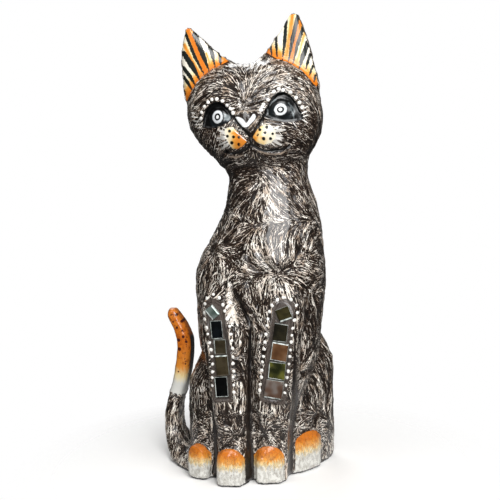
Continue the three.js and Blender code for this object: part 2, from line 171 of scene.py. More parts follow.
def turned_flat(points, turn):
    """Points in a plane, turned round its origin by the angle turn."""
    spin = np.array([[math.cos(turn), -math.sin(turn)], [math.sin(turn), math.cos(turn)]])
    return points @ spin.T


def mesh_object(name, points, faces):
    """A mesh object at the origin; points come in millimetres and are stored in metres."""
    mesh = bpy.data.meshes.new(name)
    mesh.from_pydata(np.asarray(points) * MM, [], faces)
    mesh.update()
    made = bpy.data.objects.new(name, mesh)
    bpy.context.scene.collection.objects.link(made)
    return made


# %% [markdown]
# ## Trunk
#
# The trunk is one level section after another: middle, half width, front, back and squareness at
# a height. The neck leans to the cat's left. Near the ground the front turns a little to the
# cat's left and the back spreads, which is how the real block stands firm.

# %% Trunk
TRUNK = [
    # height, middle across, half width, front, back, squareness
    (0, -3, 29, -30, 36, 2.6),
    (4, -3, 31, -32, 38, 2.6),
    (45, -2, 31, -33, 39, 2.6),
    (76, 0, 39, -34, 38, 2.7),
    (98, 0.4, 42.4, -33, 38, 2.7),
    (112, 1, 43.5, -34, 37, 2.7),
    (126, 2, 44.5, -37.5, 36, 2.6),
    (143, 2.6, 44.6, -39.8, 34, 2.6),
    (160, 5.8, 40.8, -38, 31, 2.5),
    (183, 10.4, 33.2, -34, 28, 2.4),
    (204, 9.6, 27.6, -28, 27, 2.3),
    (212, 8.4, 27.2, -27, 27, 2.3),
    (222, 4.4, 32.2, -26, 27, 2.3),
    (234, 1.6, 39.5, -22, 27, 2.3),
    (246, 0.6, 43, -16, 25, 2.3),
]
TRUNK_FOOT = {"turn": 16 * DEGREE, "spread": 13, "low": 20, "high": 104}
RIDGE = {"height": 3, "half": 24, "x": 12, "low": 138, "mid": 172, "high": 206}


def columns_at(table, z):
    """Every column of a table of sections but the first, on smooth curves, at the heights z."""
    return [through([(row[0], row[k]) for row in table], z) for k in range(1, len(table[0]))]


def trunk(along, around):
    """Superellipse sections; the foot is turned and spread, and a ridge runs down the chest."""
    z = TRUNK[-1][0] * along
    middle, half, front, back, square = columns_at(TRUNK, z)
    c, s = squircle(around * FULL_TURN, square)
    foot = 1 - ramp(TRUNK_FOOT["low"], TRUNK_FOOT["high"], z)
    x = middle + (half + TRUNK_FOOT["spread"] * foot * np.maximum(s, 0)) * c
    y = (front + back) / 2 + (back - front) / 2 * s
    rise = ramp(RIDGE["low"], RIDGE["mid"], z) * (1 - ramp(RIDGE["mid"], RIDGE["high"], z))
    near = np.maximum(0, 1 - np.abs(x - RIDGE["x"]) / RIDGE["half"])
    y = y - RIDGE["height"] * rise * near * np.maximum(0, -s)
    turn = TRUNK_FOOT["turn"] * foot * (0.5 - 0.5 * s)
    return x * np.cos(turn) - y * np.sin(turn), x * np.sin(turn) + y * np.cos(turn), z


forms = [skin("trunk", trunk)]

# %% [markdown]
# ## Forelegs
#
# Each foreleg is a flat-fronted pillar that sinks into the chest at its top. The left one stands
# a few millimetres further back at the foot. Flat fronts matter here: the mirrors are let into
# them, and they catch the light as one plane.

# %% Forelegs
FORELEG = [
    # height, distance from the middle, half width, front
    (0, 12.4, 10.4, -42),
    (30, 13.2, 11.8, -42.5),
    (60, 15, 14.2, -43.3),
    (95, 16.8, 16.2, -43),
    (116, 18, 17.6, -41.6),
    (130, 18.4, 17, -39.5),
    (142, 18, 14.5, -36.5),
    (156, 17, 10, -30),
]
FORELEG_SPINE = -22
FORELEG_SETBACK = {"foot": 9, "level": 85}
FORELEG_SQUARE = {"foot": 3.8, "less": 1.6, "from": 110, "to": 150}
FORELEG_JOINS = (80, 140)


def foreleg(side):
    """Squarish sections about a spine, rounder towards the chest; side is -1 for the cat's right."""

    def at(along, around):
        z = FORELEG[-1][0] * along
        rounder = FORELEG_SQUARE["less"] * ramp(FORELEG_SQUARE["from"], FORELEG_SQUARE["to"], z)
        c, s = squircle(around * FULL_TURN, FORELEG_SQUARE["foot"] - rounder)
        aside, half, front = columns_at(FORELEG, z)
        x = ramp(*FORELEG_JOINS, z) * columns_at(TRUNK, z)[0] + side * aside + half * c
        setback = FORELEG_SETBACK["foot"] * (1 - ramp(0, FORELEG_SETBACK["level"], z)) * (side > 0)
        y = FORELEG_SPINE + (FORELEG_SPINE - front - setback) * s
        return x, y, z

    return at


forms += [skin("foreleg", foreleg(side)) for side in SIDES]

# %% [markdown]
# ## Haunches and paws
#
# The thighs are folded against the flanks: upright blocks, cut off at a slant on top, with their
# faces turned a little to the front. The paws are blunt blocks with arched tops, set round the
# front of the base, each turned its own way.

# %% Haunches and paws
HAUNCHES = [
    # side, middle x and y, half width, half depth, turn in degrees, brow, top, slope above the brow
    (-1, 25.6, 2, 26, 32, 8, 64, 94, 0.5),
    (1, 25.2, 9, 15.4, 35.5, 30, 76, 98, 0.6),
]
HAUNCH_FOOT = {"height": 3, "share": 0.1, "draws_in": 0.035, "up_to": 5}
HAUNCH_SQUARE = 2.6
BROW_ROUNDING = 3
DEPTH_SLOPE = 0.6
PAWS = {
    # middle x and y, half width, half depth, height, turn to the cat's left in degrees
    "front_right": (-15, -34.5, 9.6, 12.5, 26, 2),
    "front_left": (9.4, -25.5, 9.9, 13.2, 26.5, 13),
    "hind_right": (-36.2, -22.5, 8.4, 12.8, 24, -24),
    "hind_left": (24.2, 2.6, 14.6, 15.2, 28, 51),
}
PAW_EDGE = 1.2
PAW_SQUARE = 5
PAW_ARCH = 7
PAW_TOP = {"half": 0.12, "deep": 0.86}


def haunch(side, x, y, across, along, turn, brow, top, slope):
    """Superellipse sections that shrink by slope for each millimetre above the brow."""
    ahead, aside = math.sin(turn * DEGREE), math.cos(turn * DEGREE)

    def at(step, around):
        low, share = HAUNCH_FOOT["height"], HAUNCH_FOOT["share"]
        z = np.where(step < share, 30 * step, low + (top - low) * (step - share) / 0.9)
        over = (np.sqrt((z - brow) ** 2 + BROW_ROUNDING**2) + z - brow) / 2
        foot = 1 - HAUNCH_FOOT["draws_in"] * (1 - ramp(0, HAUNCH_FOOT["up_to"], z))
        c, s = squircle(side * around * FULL_TURN, HAUNCH_SQUARE)
        u = across * foot * c - slope * over * (0.5 + 0.5 * c)
        v = (along * foot - DEPTH_SLOPE * slope * over) * s
        return side * (x + u * aside + v * ahead), y - u * ahead + v * aside, z

    return at


def paw(x, y, half, deep, height, turn):
    """Nearly square sections that draw in as an arch near the top."""
    ahead, aside = math.sin(turn * DEGREE), math.cos(turn * DEGREE)

    def at(along, around):
        z = height * (1 - (1 - along) ** 1.8)
        dome = np.sqrt(np.maximum(1 - (z / height) ** PAW_ARCH, 0))
        foot = 1 - (PAW_EDGE / half) * (1 - ramp(0, PAW_EDGE * 1.6, z))
        c, s = squircle(around * FULL_TURN, PAW_SQUARE)
        u = half * foot * (PAW_TOP["half"] + (1 - PAW_TOP["half"]) * dome) * c
        v = deep * foot * (PAW_TOP["deep"] + (1 - PAW_TOP["deep"]) * dome) * s
        return x + u * aside - v * ahead, y + u * ahead + v * aside, z

    return at


forms += [skin("haunch", haunch(*thigh)) for thigh in HAUNCHES]
forms += [skin("paw", paw(*size)) for size in PAWS.values()]

# %% [markdown]
# ## Tail
#
# The tail was sawn out as a slab in the plane of the front view, so it is deeper than it is wide.
# It leaves the foot of the right flank and stands free of it up to its blunt tip.

# %% Tail
TAIL_LINE = [
    (-36, 0), (-50, 0), (-60.8, 5.5), (-67.2, 16), (-69, 27), (-68, 37), (-65.6, 47), (-62.6, 57),
    (-60.4, 67), (-58.8, 77), (-58.2, 87), (-60.2, 96.5), (-64.2, 104.5), (-68.2, 112),
]
TAIL = {
    "width": 10.8, "root": 17, "tip": 8.2, "front": 9, "back": 31, "tip_back": 21, "root_reach": 36,
    "root_share": 0.34, "tip_share": 0.034, "square": 4.5,
}
tail_line = curve_at(TAIL_LINE, np.linspace(0, 1, 801))
tail_steps = np.linalg.norm(np.diff(tail_line, axis=0), axis=1)
tail_reach = np.concatenate([[0], np.cumsum(tail_steps)])
tail_ahead = np.gradient(tail_line, axis=0)
tail_ahead /= np.linalg.norm(tail_ahead, axis=1, keepdims=True)


def tail(step, around):
    """Squarish sections carried along the line at equal lengths; the last few round off."""
    along = 1 - (1 - step) ** 1.6
    reach = along * tail_reach[-1]
    x, z = [np.interp(reach, tail_reach, tail_line[:, k]) for k in (0, 1)]
    ahead_x, ahead_z = [np.interp(reach, tail_reach, tail_ahead[:, k]) for k in (0, 1)]
    past = np.maximum((along - 1 + TAIL["tip_share"]) / TAIL["tip_share"], 0)
    rounding = np.sqrt(np.maximum(1 - past**2, 0.04))
    slim = TAIL["width"] + (TAIL["tip"] - TAIL["width"]) * ramp(0.8, 1, along)
    width = TAIL["root"] + (slim - TAIL["root"]) * ramp(0.08, 0.42, along)
    front = TAIL["front"] - TAIL["root_reach"] * (1 - ramp(0, TAIL["root_share"], along))
    back = TAIL["back"] + (TAIL["tip_back"] - TAIL["back"]) * ramp(0.6, 1, along)
    c, s = squircle(around * FULL_TURN, TAIL["square"])
    across = width / 2 * rounding * c
    y = (front + back) / 2 + (back - front) / 2 * rounding * s
    return x + ahead_z * across, y, z - ahead_x * across


forms.append(skin("tail", tail))
print("tail length in mm:", round(tail_reach[-1], 1))

# %% [markdown]
# ## Head and ears
#
# The head has a frame of its own, because it is tilted and turned: x to the cat's left, z up, y
# back. The face is a shallow dome whose outline dips between the ears, and each ear is a wedge
# with a flat front that narrows to its tip.

# %% Head frame
HEAD = {"x": 0.5, "y": -2, "z": 253, "tilt": 5.8 * DEGREE, "turn": 4 * DEGREE}
HEAD_MATRIX = np.array(Matrix.Rotation(HEAD["turn"], 3, "Z") @ Matrix.Rotation(-HEAD["tilt"], 3, "Y"))
HEAD_MIDDLE = np.array([HEAD["x"], HEAD["y"], HEAD["z"]])


def from_head(x, y, z):
    """Points of the head's frame in the cat's frame: turned, then moved to the head's middle."""
    points = np.stack(np.broadcast_arrays(x, y, z), -1) @ HEAD_MATRIX.T + HEAD_MIDDLE
    return points[..., 0], points[..., 1], points[..., 2]


def to_head(points):
    """The other way round: an array of points in the cat's frame, in the head's frame."""
    return (np.asarray(points) - HEAD_MIDDLE) @ HEAD_MATRIX


# %% Skull
SKULL = {
    "half": 45.8, "crown": 38, "chin": 43, "face": 36, "nape": 32, "squareness": 2.7,
    "saddle": 0.13, "saddle_spread": 17 * DEGREE, "chin_shift": 6.3, "above": 2.2, "below": 1.88,
}
SKULL_FRONT_RINGS = 0.7


def skull_reach(angle):
    """Reach of the head's outline at an angle: two half superellipses with a dip at the top."""
    c, s = np.abs(np.cos(angle)), np.abs(np.sin(angle))
    up = np.sin(angle) > 0
    power = np.where(up, SKULL["above"], SKULL["below"])
    tall = np.where(up, SKULL["crown"], SKULL["chin"])
    off = np.arctan2(np.sin(angle - math.pi / 2), np.cos(angle - math.pi / 2))
    dip = 1 - SKULL["saddle"] * np.exp(-((off / SKULL["saddle_spread"]) ** 2))
    return dip * ((c / SKULL["half"]) ** power + (s / tall) ** power) ** (-1 / power)


def face_depth(x, z):
    """How far the face stands in front of the head's middle plane: a squarish dome."""
    share = np.minimum(np.hypot(x, z) / skull_reach(np.arctan2(z, x)), 1)
    power = SKULL["squareness"]
    return SKULL["face"] * (1 - share**power) ** (1 / power)


def chin_shift(z):
    """How far the jaw sits to the cat's left: in proportion to the depth below the head's middle."""
    return SKULL["chin_shift"] * np.maximum(-z, 0) / SKULL["chin"]


def skull(along, around):
    """Rings from the middle of the face out to its edge, then back in over the nape."""
    angle = -around * FULL_TURN
    front = along <= SKULL_FRONT_RINGS
    share = np.where(front, along / SKULL_FRONT_RINGS, (1 - along) / (1 - SKULL_FRONT_RINGS))
    spread = np.maximum(np.where(front, share**0.8, np.sin(share * math.pi / 2)), 0.004)
    x, z = [skull_reach(angle) * spread * part for part in (np.cos(angle), np.sin(angle))]
    y = np.where(front, -face_depth(x, z), SKULL["nape"] * np.sqrt(np.maximum(1 - spread**2, 0)))
    return from_head(x + chin_shift(z), y, z)


# %% Ears
EAR_INNER = {
    # shares of the skull's half width and of its crown height
    -1: [(0, 0.579), (0.109, 0.855), (0.297, 1.016), (0.513, 1.253), (0.786, 1.632)],
    1: [(0, 0.579), (0.109, 0.855), (0.273, 1.039), (0.459, 1.289), (0.688, 1.645)],
}
EAR_OUTER = {
    -1: [(0.917, 0), (0.991, 0.368), (0.991, 0.737), (0.961, 1.211), (0.852, 1.645)],
    1: [(0.917, 0), (1.004, 0.368), (0.965, 0.737), (0.915, 1.158), (0.817, 1.645)],
}
EAR = {"front": -14, "tip_front": -9, "thick": 19, "tip_thick": 5.5, "square": 3}
SKULL_SIZE = np.array([SKULL["half"], SKULL["crown"]])


def ear(side):
    """Sections between an inner and an outer edge, flat in front, thinner towards the tip."""

    def at(along, around):
        share_up = along[:, 0]
        start = curve_at(np.array(EAR_INNER[side]) * SKULL_SIZE, share_up)[:, None]
        end = curve_at(np.array(EAR_OUTER[side]) * SKULL_SIZE, share_up)[:, None]
        c, s = squircle(side * around * FULL_TURN, EAR["square"])
        thick = EAR["thick"] + (EAR["tip_thick"] - EAR["thick"]) * along
        front = EAR["front"] + (EAR["tip_front"] - EAR["front"]) * along
        edge = start + (end - start) * ((1 + c) / 2)[..., None]
        return from_head(side * edge[..., 0], front + thick / 2 * (1 + s), edge[..., 1])

    return at


forms.append(skin("skull", skull))
forms += [skin("ear", ear(side)) for side in SIDES]
print("forms:", len(forms), "with", sum(len(f[0]) for f in forms), "points")

# %% [markdown]
# ## Melt the forms into one skin
#
# The real cat is one block, so no seam may show between a paw and a leg. A voxel remesh does what
# the carver's knife and rasp do: it keeps only the outside of all the forms together, as even
# squares. The face, the ears, the mirror fields and the paws carry the finest work, so their
# squares are halved once more; the rest stays coarser to keep the piece light.

# %% Melt and refine
VOXEL = 1.45
FACE_REACH = 33


def melted(parts, voxel):
    """One closed mesh round all the parts, from a voxel remesh; what is below ground is cut off."""
    points, faces = joined(parts)
    points[:, 2] = np.maximum(points[:, 2], 0)
    rough = mesh_object("rough_block", points, faces)
    melt = rough.modifiers.new("melt", "REMESH")
    melt.mode = "VOXEL"
    melt.voxel_size = voxel * MM
    depsgraph = bpy.context.evaluated_depsgraph_get()
    mesh = bpy.data.meshes.new_from_object(rough.evaluated_get(depsgraph))
    bpy.data.objects.remove(rough)
    return mesh


def read(items, field, width=3):
    """One field of all vertices, edges or faces as an array with a row for each."""
    values = np.empty(len(items) * width, np.float32 if field in ("co", "normal", "center") else np.int32)
    items.foreach_get(field, values)
    return values.reshape(-1, width)


def fine_work(points):
    """True where small carving or paint needs a finer mesh: face, ears, mirror fields and paws."""
    head = to_head(points)
    face = (head[:, 1] < -9) & (np.hypot(head[:, 0], head[:, 2]) < FACE_REACH) & (head[:, 2] > -29)
    ears = (head[:, 2] > 15) & (head[:, 1] < -6) & (np.abs(head[:, 0]) > 12)
    x, y, z = points.T
    mirrors = (z > 60) & (z < 134) & (y < -37) & (np.abs(x - 2) > 4)
    paws = (z < 30) & (y < -8) & (np.abs(x) < 44) & (x > -44)
    return face | ears | mirrors | paws


def refined(mesh, wanted):
    """The mesh with each wanted face cut in four; odd faces left round the edge become triangles."""
    chosen = wanted(read(mesh.polygons, "center") / MM)
    work = bmesh.new()
    work.from_mesh(mesh)
    work.faces.ensure_lookup_table()
    edges = {edge for index in np.flatnonzero(chosen) for edge in work.faces[index].edges}
    bmesh.ops.subdivide_edges(work, edges=list(edges), cuts=1, use_grid_fill=True)
    odd = [face for face in work.faces if len(face.verts) > 4]
    bmesh.ops.triangulate(work, faces=odd)
    work.to_mesh(mesh)
    work.free()
    return mesh


skin_mesh = refined(melted(forms, VOXEL), fine_work)
triangles = sum(len(face.vertices) - 2 for face in skin_mesh.polygons)
print("skin:", len(skin_mesh.vertices), "vertices,", triangles, "triangles")

# %% [markdown]
# ## Even out the voxels
#
# A voxel mesh has faint steps. Moving each vertex a little towards the mean of its neighbours
# takes them away and eases the hard edges, as sandpaper does on soft wood.


# %% Smoothing
def smoothed(points, edges, rounds, share=0.5):
    """Each round moves every point a share of the way to the mean of its neighbours on edges."""
    start, end = edges.T
    count = len(points)
    degree = np.bincount(start, minlength=count) + np.bincount(end, minlength=count)
    for _ in range(rounds):
        columns = [np.bincount(start, c[end], count) + np.bincount(end, c[start], count) for c in points.T]
        points = points + share * (np.stack(columns, axis=-1) / degree[:, None] - points)
    return points


points = read(skin_mesh.vertices, "co") / MM
skin_edges = read(skin_mesh.edges, "vertices", 2)
on_ground = points[:, 2] < 0.4
points = smoothed(points.astype(float), skin_edges, 3)
points[on_ground, 2] = 0
points[:, 2] = np.maximum(points[:, 2], 0)
print("on the ground:", int(on_ground.sum()), "vertices")

# %% [markdown]
# ## Distances for carving and paint
#
# Eye sockets, the nose, the whisker patches and the mirror fields all have drawn outlines. One
# number per vertex says how far it is inside an outline, in millimetres. The carving uses it to
# sink a wall of a chosen width, and the paint later uses the same number for a crisp edge, since
# it changes evenly across a face of the mesh.


# %% Outlines and lines
def outline_through(stations, steps=6):
    """A closed smooth outline: the open curve through the stations and, past the seam, round again."""
    ring = np.vstack([stations[-2:], stations, stations[:2]])
    share = np.linspace(2, len(ring) - 3, len(stations) * steps, endpoint=False) / (len(ring) - 1)
    return curve_at(ring, share)


def line_distance(x, z, path, thickness=None):
    """Distance to the nearest piece of an open path, less the half thickness there if it is given."""
    path = np.array(path, float)
    best = np.full(np.shape(x), 1e3)
    for k in range(len(path) - 1):
        (x0, z0), (dx, dz) = path[k], path[k + 1] - path[k]
        t = np.clip(((x - x0) * dx + (z - z0) * dz) / (dx * dx + dz * dz), 0, 1)
        away = np.hypot(x - x0 - t * dx, z - z0 - t * dz)
        if thickness is not None:
            away = away - (thickness[k] * (1 - t) + thickness[k + 1] * t)
        best = np.minimum(best, away)
    return best


def inside_distance(x, z, outline):
    """Distance to a closed outline, positive inside: inside is where a level ray meets it oddly."""
    loop = np.vstack([outline, outline[:1]])
    inside = np.zeros(np.shape(x), bool)
    for (x0, z0), (x1, z1) in zip(loop[:-1], loop[1:]):
        if z0 == z1:
            continue
        crosses = (z0 > z) != (z1 > z)
        inside ^= crosses & (x < (x1 - x0) * (z - z0) / (z1 - z0) + x0)
    away = line_distance(x, z, loop)
    return np.where(inside, away, -away)


def nearest_line(x, z, paths):
    """Distance to the nearest of several open paths."""
    return np.min([line_distance(x, z, path) for path in paths], axis=0)


def inside_any(x, z, outlines):
    """How far inside the outline that holds the point deepest."""
    return np.max([inside_distance(x, z, outline) for outline in outlines], axis=0)


# %% [markdown]
# ## The face
#
# Each eye is an arched socket, deep under the brow and shallow below, with a low ball left in it.
# The nose is a shield that stands out at its tip, with a groove along its lower edges. The
# muzzle is two soft pads, and the mouth a cut line under them.

# %% Face drawing, in the head's frame
EYE_OUTLINE = {
    -1: [
        (-32.4, -5), (-31.9, -1), (-30.8, 3.1), (-28.4, 6.8), (-25.5, 9.5), (-22.4, 10.8), (-19.4, 10.6),
        (-16.8, 9), (-14.3, 6.3), (-12.4, 3.3), (-10.9, -0.4), (-13.2, -2.4), (-17.4, -4.2), (-23.1, -5.9),
        (-28.2, -6.3),
    ],
    1: [
        (9.2, -2.8), (10, 0.2), (12.1, 3.5), (13.9, 6.4), (16.6, 9.6), (20.4, 11.6), (24.3, 11.4),
        (27.1, 9.7), (29.5, 6.7), (31.4, 3.2), (32.6, -0.8), (34.6, -7), (29.5, -8), (24.6, -7.9),
        (19.3, -6.8), (13.4, -4.8),
    ],
}
EYE_BALL = {-1: (-20.8, -0.9, 7.4), 1: (20.5, -0.9, 8.4)}
SOCKET = {"depth": 3.4, "low_share": 0.3, "low": -6, "high": 4, "ball_below": 0.2, "wall": 1.3}
NOSE_OUTLINE = [
    (-6.5, 8), (-10.6, -0.9), (-8.9, -4.2), (-1.2, -14.8), (0.2, -14.8), (8, -4.2), (9.6, -1.2), (6.5, 8),
]
NOSE_EDGE = [(-10.6, -0.2), (-8.9, -4.2), (-0.6, -14.6), (8, -4.2), (9.4, -1)]
NOSE = {"bridge": 7, "rise": 3.2 / 22, "wall": 1.5}
NOSE_GROOVE = {"depth": 0.6, "from": 0.2, "to": 1.3}
MUZZLE = {"x": 10.6, "z": -16, "half": 11.8, "tall": 8.8, "height": 2.6, "power": 0.6}
MOUTH = {"depth": 1.2, "half": 1.5}
MOUTH_LINES = [
    [(-0.9, -14.6), (-1.6, -19.6)],
    [(-1.6, -19.6), (-5, -22.4), (-10, -24), (-15.3, -24.4), (-20.1, -22.8)],
    [(-1.6, -19.6), (1.6, -22.3), (7.7, -25.2), (16.2, -25.8), (23.1, -24.2)],
]
SKIN_NEAR_DOME = (1.5, 3.5)
eye_outlines = {side: outline_through(EYE_OUTLINE[side]) for side in SIDES}


def eye_relief(x, z, relief):
    """The relief with both sockets sunk in it: a wall under the brow, and a ball standing in each."""
    low, depth = SOCKET["low_share"], SOCKET["depth"]
    for side in SIDES:
        edge = inside_distance(x, z, eye_outlines[side])
        ball_x, ball_z, radius = EYE_BALL[side]
        deep = depth * (low + (1 - low) * ramp(SOCKET["low"], SOCKET["high"], z))
        away = np.hypot(x - ball_x, z - ball_z) / radius
        ball = -depth + (depth - SOCKET["ball_below"]) * np.sqrt(np.maximum(1 - away**2, 0))
        sunk = np.maximum(-deep, ball) * ramp(0, SOCKET["wall"], edge)
        relief = np.where(edge > 0, sunk, relief)
    return relief


def face_relief(x, z):
    """Height of the carving above the dome of the face, in millimetres."""
    relief = np.zeros(np.shape(x))
    for side in SIDES:
        away = np.hypot((x - side * MUZZLE["x"]) / MUZZLE["half"], (z - MUZZLE["z"]) / MUZZLE["tall"])
        relief = np.maximum(relief, MUZZLE["height"] * np.maximum(1 - away**2, 0) ** MUZZLE["power"])
    relief = relief - MOUTH["depth"] * (1 - ramp(0, MOUTH["half"], nearest_line(x, z, MOUTH_LINES)))
    edge = inside_distance(x, z, NOSE_OUTLINE)
    plane = face_depth(0, NOSE["bridge"]) + NOSE["rise"] * (NOSE["bridge"] - z) - face_depth(x, z)
    nose = relief + (plane - relief) * ramp(0, NOSE["wall"], edge)
    relief = np.where(edge > 0, nose, relief)
    groove = ramp(NOSE_GROOVE["from"], NOSE_GROOVE["to"], line_distance(x, z, NOSE_EDGE))
    relief = relief - NOSE_GROOVE["depth"] * (1 - groove)
    return eye_relief(x, z, relief)


def on_face(head):
    """1 on the front of the skull, 0 well away from its dome."""
    dome = face_depth(head[:, 0] - chin_shift(head[:, 2]), head[:, 2])
    return (1 - ramp(*SKIN_NEAR_DOME, np.abs(head[:, 1] + dome))) * (head[:, 1] < 0)


head_points = to_head(points)
face_share = on_face(head_points)
head_points[:, 1] -= face_relief(head_points[:, 0], head_points[:, 2]) * face_share
points = np.stack(from_head(*head_points.T), -1)
print("face vertices:", int((face_share > 0.5).sum()))

# %% [markdown]
# ## Mirror fields, the cut below the chest and flat facets
#
# A shallow arched pocket is let into the front of each foreleg for the mirrors. A V-shaped cut
# parts the right foreleg from the chest. The knife also leaves a few flat facets on the chest and
# legs, which shine as one piece because a plane throws the light one way; extra cream strokes on
# them paint a highlight as well.

# %% Panels on the forelegs
PANELS = {
    # middle across, foot, lean in degrees, tiles from the bottom: width, length, turn, shift
    "right": (-19.2, 62, -4, [
        (8.6, 13.8, 0, 0.4), (8.9, 13.8, 1, 2.2), (7.9, 9.8, -1, 2), (7.8, 12, 0, 0.6), (6.2, 8.4, 34, -1.2),
    ]),
    "left": (15.8, 62, 8, [
        (12, 12.4, 0, 0), (11.2, 11.4, 2, 0.4), (11.2, 12.2, -1, 0.4), (9.2, 12, 1, -0.6),
        (9.4, 8.6, 30, 0.2),
    ]),
}
PANEL_FRONT = -42.6
PANEL_SLOPE = 1.2 * DEGREE
TILE = {"thickness": 2, "proud": 0.8, "seat_gap": 0.3, "spacing": 0.9, "margin": 1.6, "crown": 6}


def panel_frame(side):
    """Origin and axes of a panel: x across, y up its length and z out of the leg."""
    x, foot, lean, _ = PANELS[side]
    axes = Matrix.Rotation(math.pi / 2 - PANEL_SLOPE, 3, "X") @ Matrix.Rotation(-lean * DEGREE, 3, "Z")
    return np.array([x, PANEL_FRONT, foot]), np.array(axes)


def tile_places(side):
    """For each tile its middle across and along, its width, length and turn in radians."""
    reach = TILE["spacing"]
    places = []
    for width, length, turn, shift in PANELS[side][3]:
        room = length * math.cos(turn * DEGREE) + width * abs(math.sin(turn * DEGREE))
        places.append((shift, reach + room / 2, width, length, turn * DEGREE))
        reach += room + TILE["spacing"]
    return places, reach


def quadratic(start, bend, end, count=8):
    """Points of a quadratic curve: (1-t)^2 start + 2t(1-t) bend + t^2 end."""
    t = np.linspace(0, 1, count)[:, None]
    return (1 - t) ** 2 * np.array(start) + 2 * t * (1 - t) * np.array(bend) + t**2 * np.array(end)


WAIST_SHARE = 0.42
POCKET_WALL = 0.9
POCKET_REACH = 6


def recess_outline(side):
    """The arched pocket: straight sides through the tiles' widths and a pointed arch on top."""
    tiles = PANELS[side][3]
    half = [tile[0] / 2 + TILE["margin"] for tile in tiles]
    shift = [tile[3] for tile in tiles]
    length = tile_places(side)[1] + TILE["margin"]
    waist = length * WAIST_SHARE
    shoulder = length - TILE["crown"]
    crown = (shift[4], length)
    right = [(-half[0], -TILE["margin"]), (half[0], -TILE["margin"]), (half[1] + shift[1], waist)]
    arch_right = quadratic((half[3] + shift[3], shoulder), (half[3] + shift[4], length), crown)
    arch_left = quadratic(crown, (shift[4] - half[3], length), (shift[3] - half[3], shoulder))
    return np.vstack([right, arch_right, arch_left[1:], [(shift[1] - half[1], waist)]])


def in_pocket(points, side):
    """The points in a panel's frame, how far each is inside its pocket, and if it is near its plane."""
    origin, axes = panel_frame(side)
    local = (points - origin) @ axes
    pocket = inside_distance(local[:, 0], local[:, 1], recess_outline(side))
    return local, pocket, np.abs(local[:, 2]) < POCKET_REACH


panel_depth = TILE["thickness"] + TILE["seat_gap"] - TILE["proud"]
for side in PANELS:
    origin, axes = panel_frame(side)
    local, pocket, near = in_pocket(points, side)
    touched = (pocket > 0) & near
    sunk = np.minimum(local[:, 2], -panel_depth)
    local[:, 2] += (sunk - local[:, 2]) * ramp(0, POCKET_WALL, pocket) * touched
    points = np.where(touched[:, None], local @ axes.T + origin, points)
    print(side, "pocket vertices:", int(touched.sum()))

# %% The cut and the facets
CUT_FROM = np.array([-15.5, -38.6, 140])
CUT_TO = np.array([0.5, -35.8, 113])
CUT_HALF = 2.2
IN_FRONT_OF = {"cut": -20, "facet": -15, "band": -5}
across = line_distance(points[:, 0], points[:, 2], [CUT_FROM[[0, 2]], CUT_TO[[0, 2]]])
down = np.clip((CUT_FROM[2] - points[:, 2]) / (CUT_FROM[2] - CUT_TO[2]), 0, 1)
cut_floor = CUT_FROM[1] + (CUT_TO[1] - CUT_FROM[1]) * down + CUT_HALF - across
in_cut = (across < CUT_HALF) & (points[:, 1] < IN_FRONT_OF["cut"])
points[in_cut, 1] = np.maximum(points[in_cut, 1], cut_floor[in_cut])
facet_share, facet_painted_highlight = np.zeros((2, len(points)))
FACETS = {
    # a point of the plane, its slopes across and up, how softly it runs out, extra strokes that
    # paint a highlight on the facet, the outline with its sharp edge first
    "chest": (
        (12.5, -34.6, 185), 0.22, 0.29, 6, 0.1, [(12.3, 212), (12, 158), (18, 148), (31, 152), (31, 208)],
    ),
    "foreleg": (
        (-13.2, -38.5, 148.3), 0.13, 0.082, 2, 0.5, [(-13.6, 149), (-17, 112), (-5.4, 112), (-8.5, 128)],
    ),
}
FACET_SHARP = 0.3
FACET_EDGE = 0.8
FACET_REACH = 4
for name, ((px, py, pz), slope_x, slope_z, soft, extra, outline) in FACETS.items():
    inside = inside_distance(points[:, 0], points[:, 2], outline)
    at_edge = line_distance(points[:, 0], points[:, 2], outline[:2]) < inside + FACET_SHARP
    share = np.where(at_edge, ramp(0, FACET_EDGE, inside), ramp(0, soft, inside))
    plane = py + slope_x * (points[:, 0] - px) + slope_z * (points[:, 2] - pz)
    share *= (points[:, 1] < IN_FRONT_OF["facet"]) & (np.abs(plane - points[:, 1]) < FACET_REACH)
    points[:, 1] += (plane - points[:, 1]) * share
    facet_share = np.maximum(facet_share, share)
    facet_painted_highlight = np.maximum(facet_painted_highlight, share * extra)
    print(name, "facet vertices:", int((share > 0.5).sum()))
print("vertices in the cut:", int(in_cut.sum()))

# %% [markdown]
# ## Which way the fur lies
#
# On the real cat the strokes run down the body, and every few centimetres they burst outwards
# from a whorl. So each vertex gets a direction: downwards, plus a push away from every whorl that
# fades with distance, laid flat on the surface. A few whorls sit where the photograph shows them,
# and the others are strewn over the rest with a fixed seed.

# %% Directions of the strokes
WHORLS = [
    # x, y, z, reach and strength
    (19.5, -38, 146, 34, 4.2), (-27, -30, 160, 32, 4.0), (6, -26, 212, 26, 2.4), (9.4, -38, 36, 17, 2.6),
    (31, -16, 34, 15, 2.4), (-31, -31, 33, 13, 2.4), (-12, -42, 38, 13, 2.0), (-36, -18, 80, 13, 1.6),
    (8, -30, 208, 18, 1.8), (40, -8, 88, 16, 1.6), (-1, -38, 258, 42, 4.5), (4, -40, 231, 20, 3.0),
]
WHORL_CORE = 0.5
STREWN = {"tries": 64, "low": 6, "high": 230, "reach": 16, "strength": 2.2}
strewn = np.random.default_rng(12)


def unit(vectors):
    """The vectors divided by their lengths."""
    return vectors / np.maximum(np.linalg.norm(vectors, axis=-1, keepdims=True), 1e-9)


def normals_of(mesh, places):
    """Vertex normals after the vertices have been moved to the given places."""
    mesh.vertices.foreach_set("co", (places * MM).astype(np.float32).ravel())
    mesh.update()
    return read(mesh.vertices, "normal").astype(float)


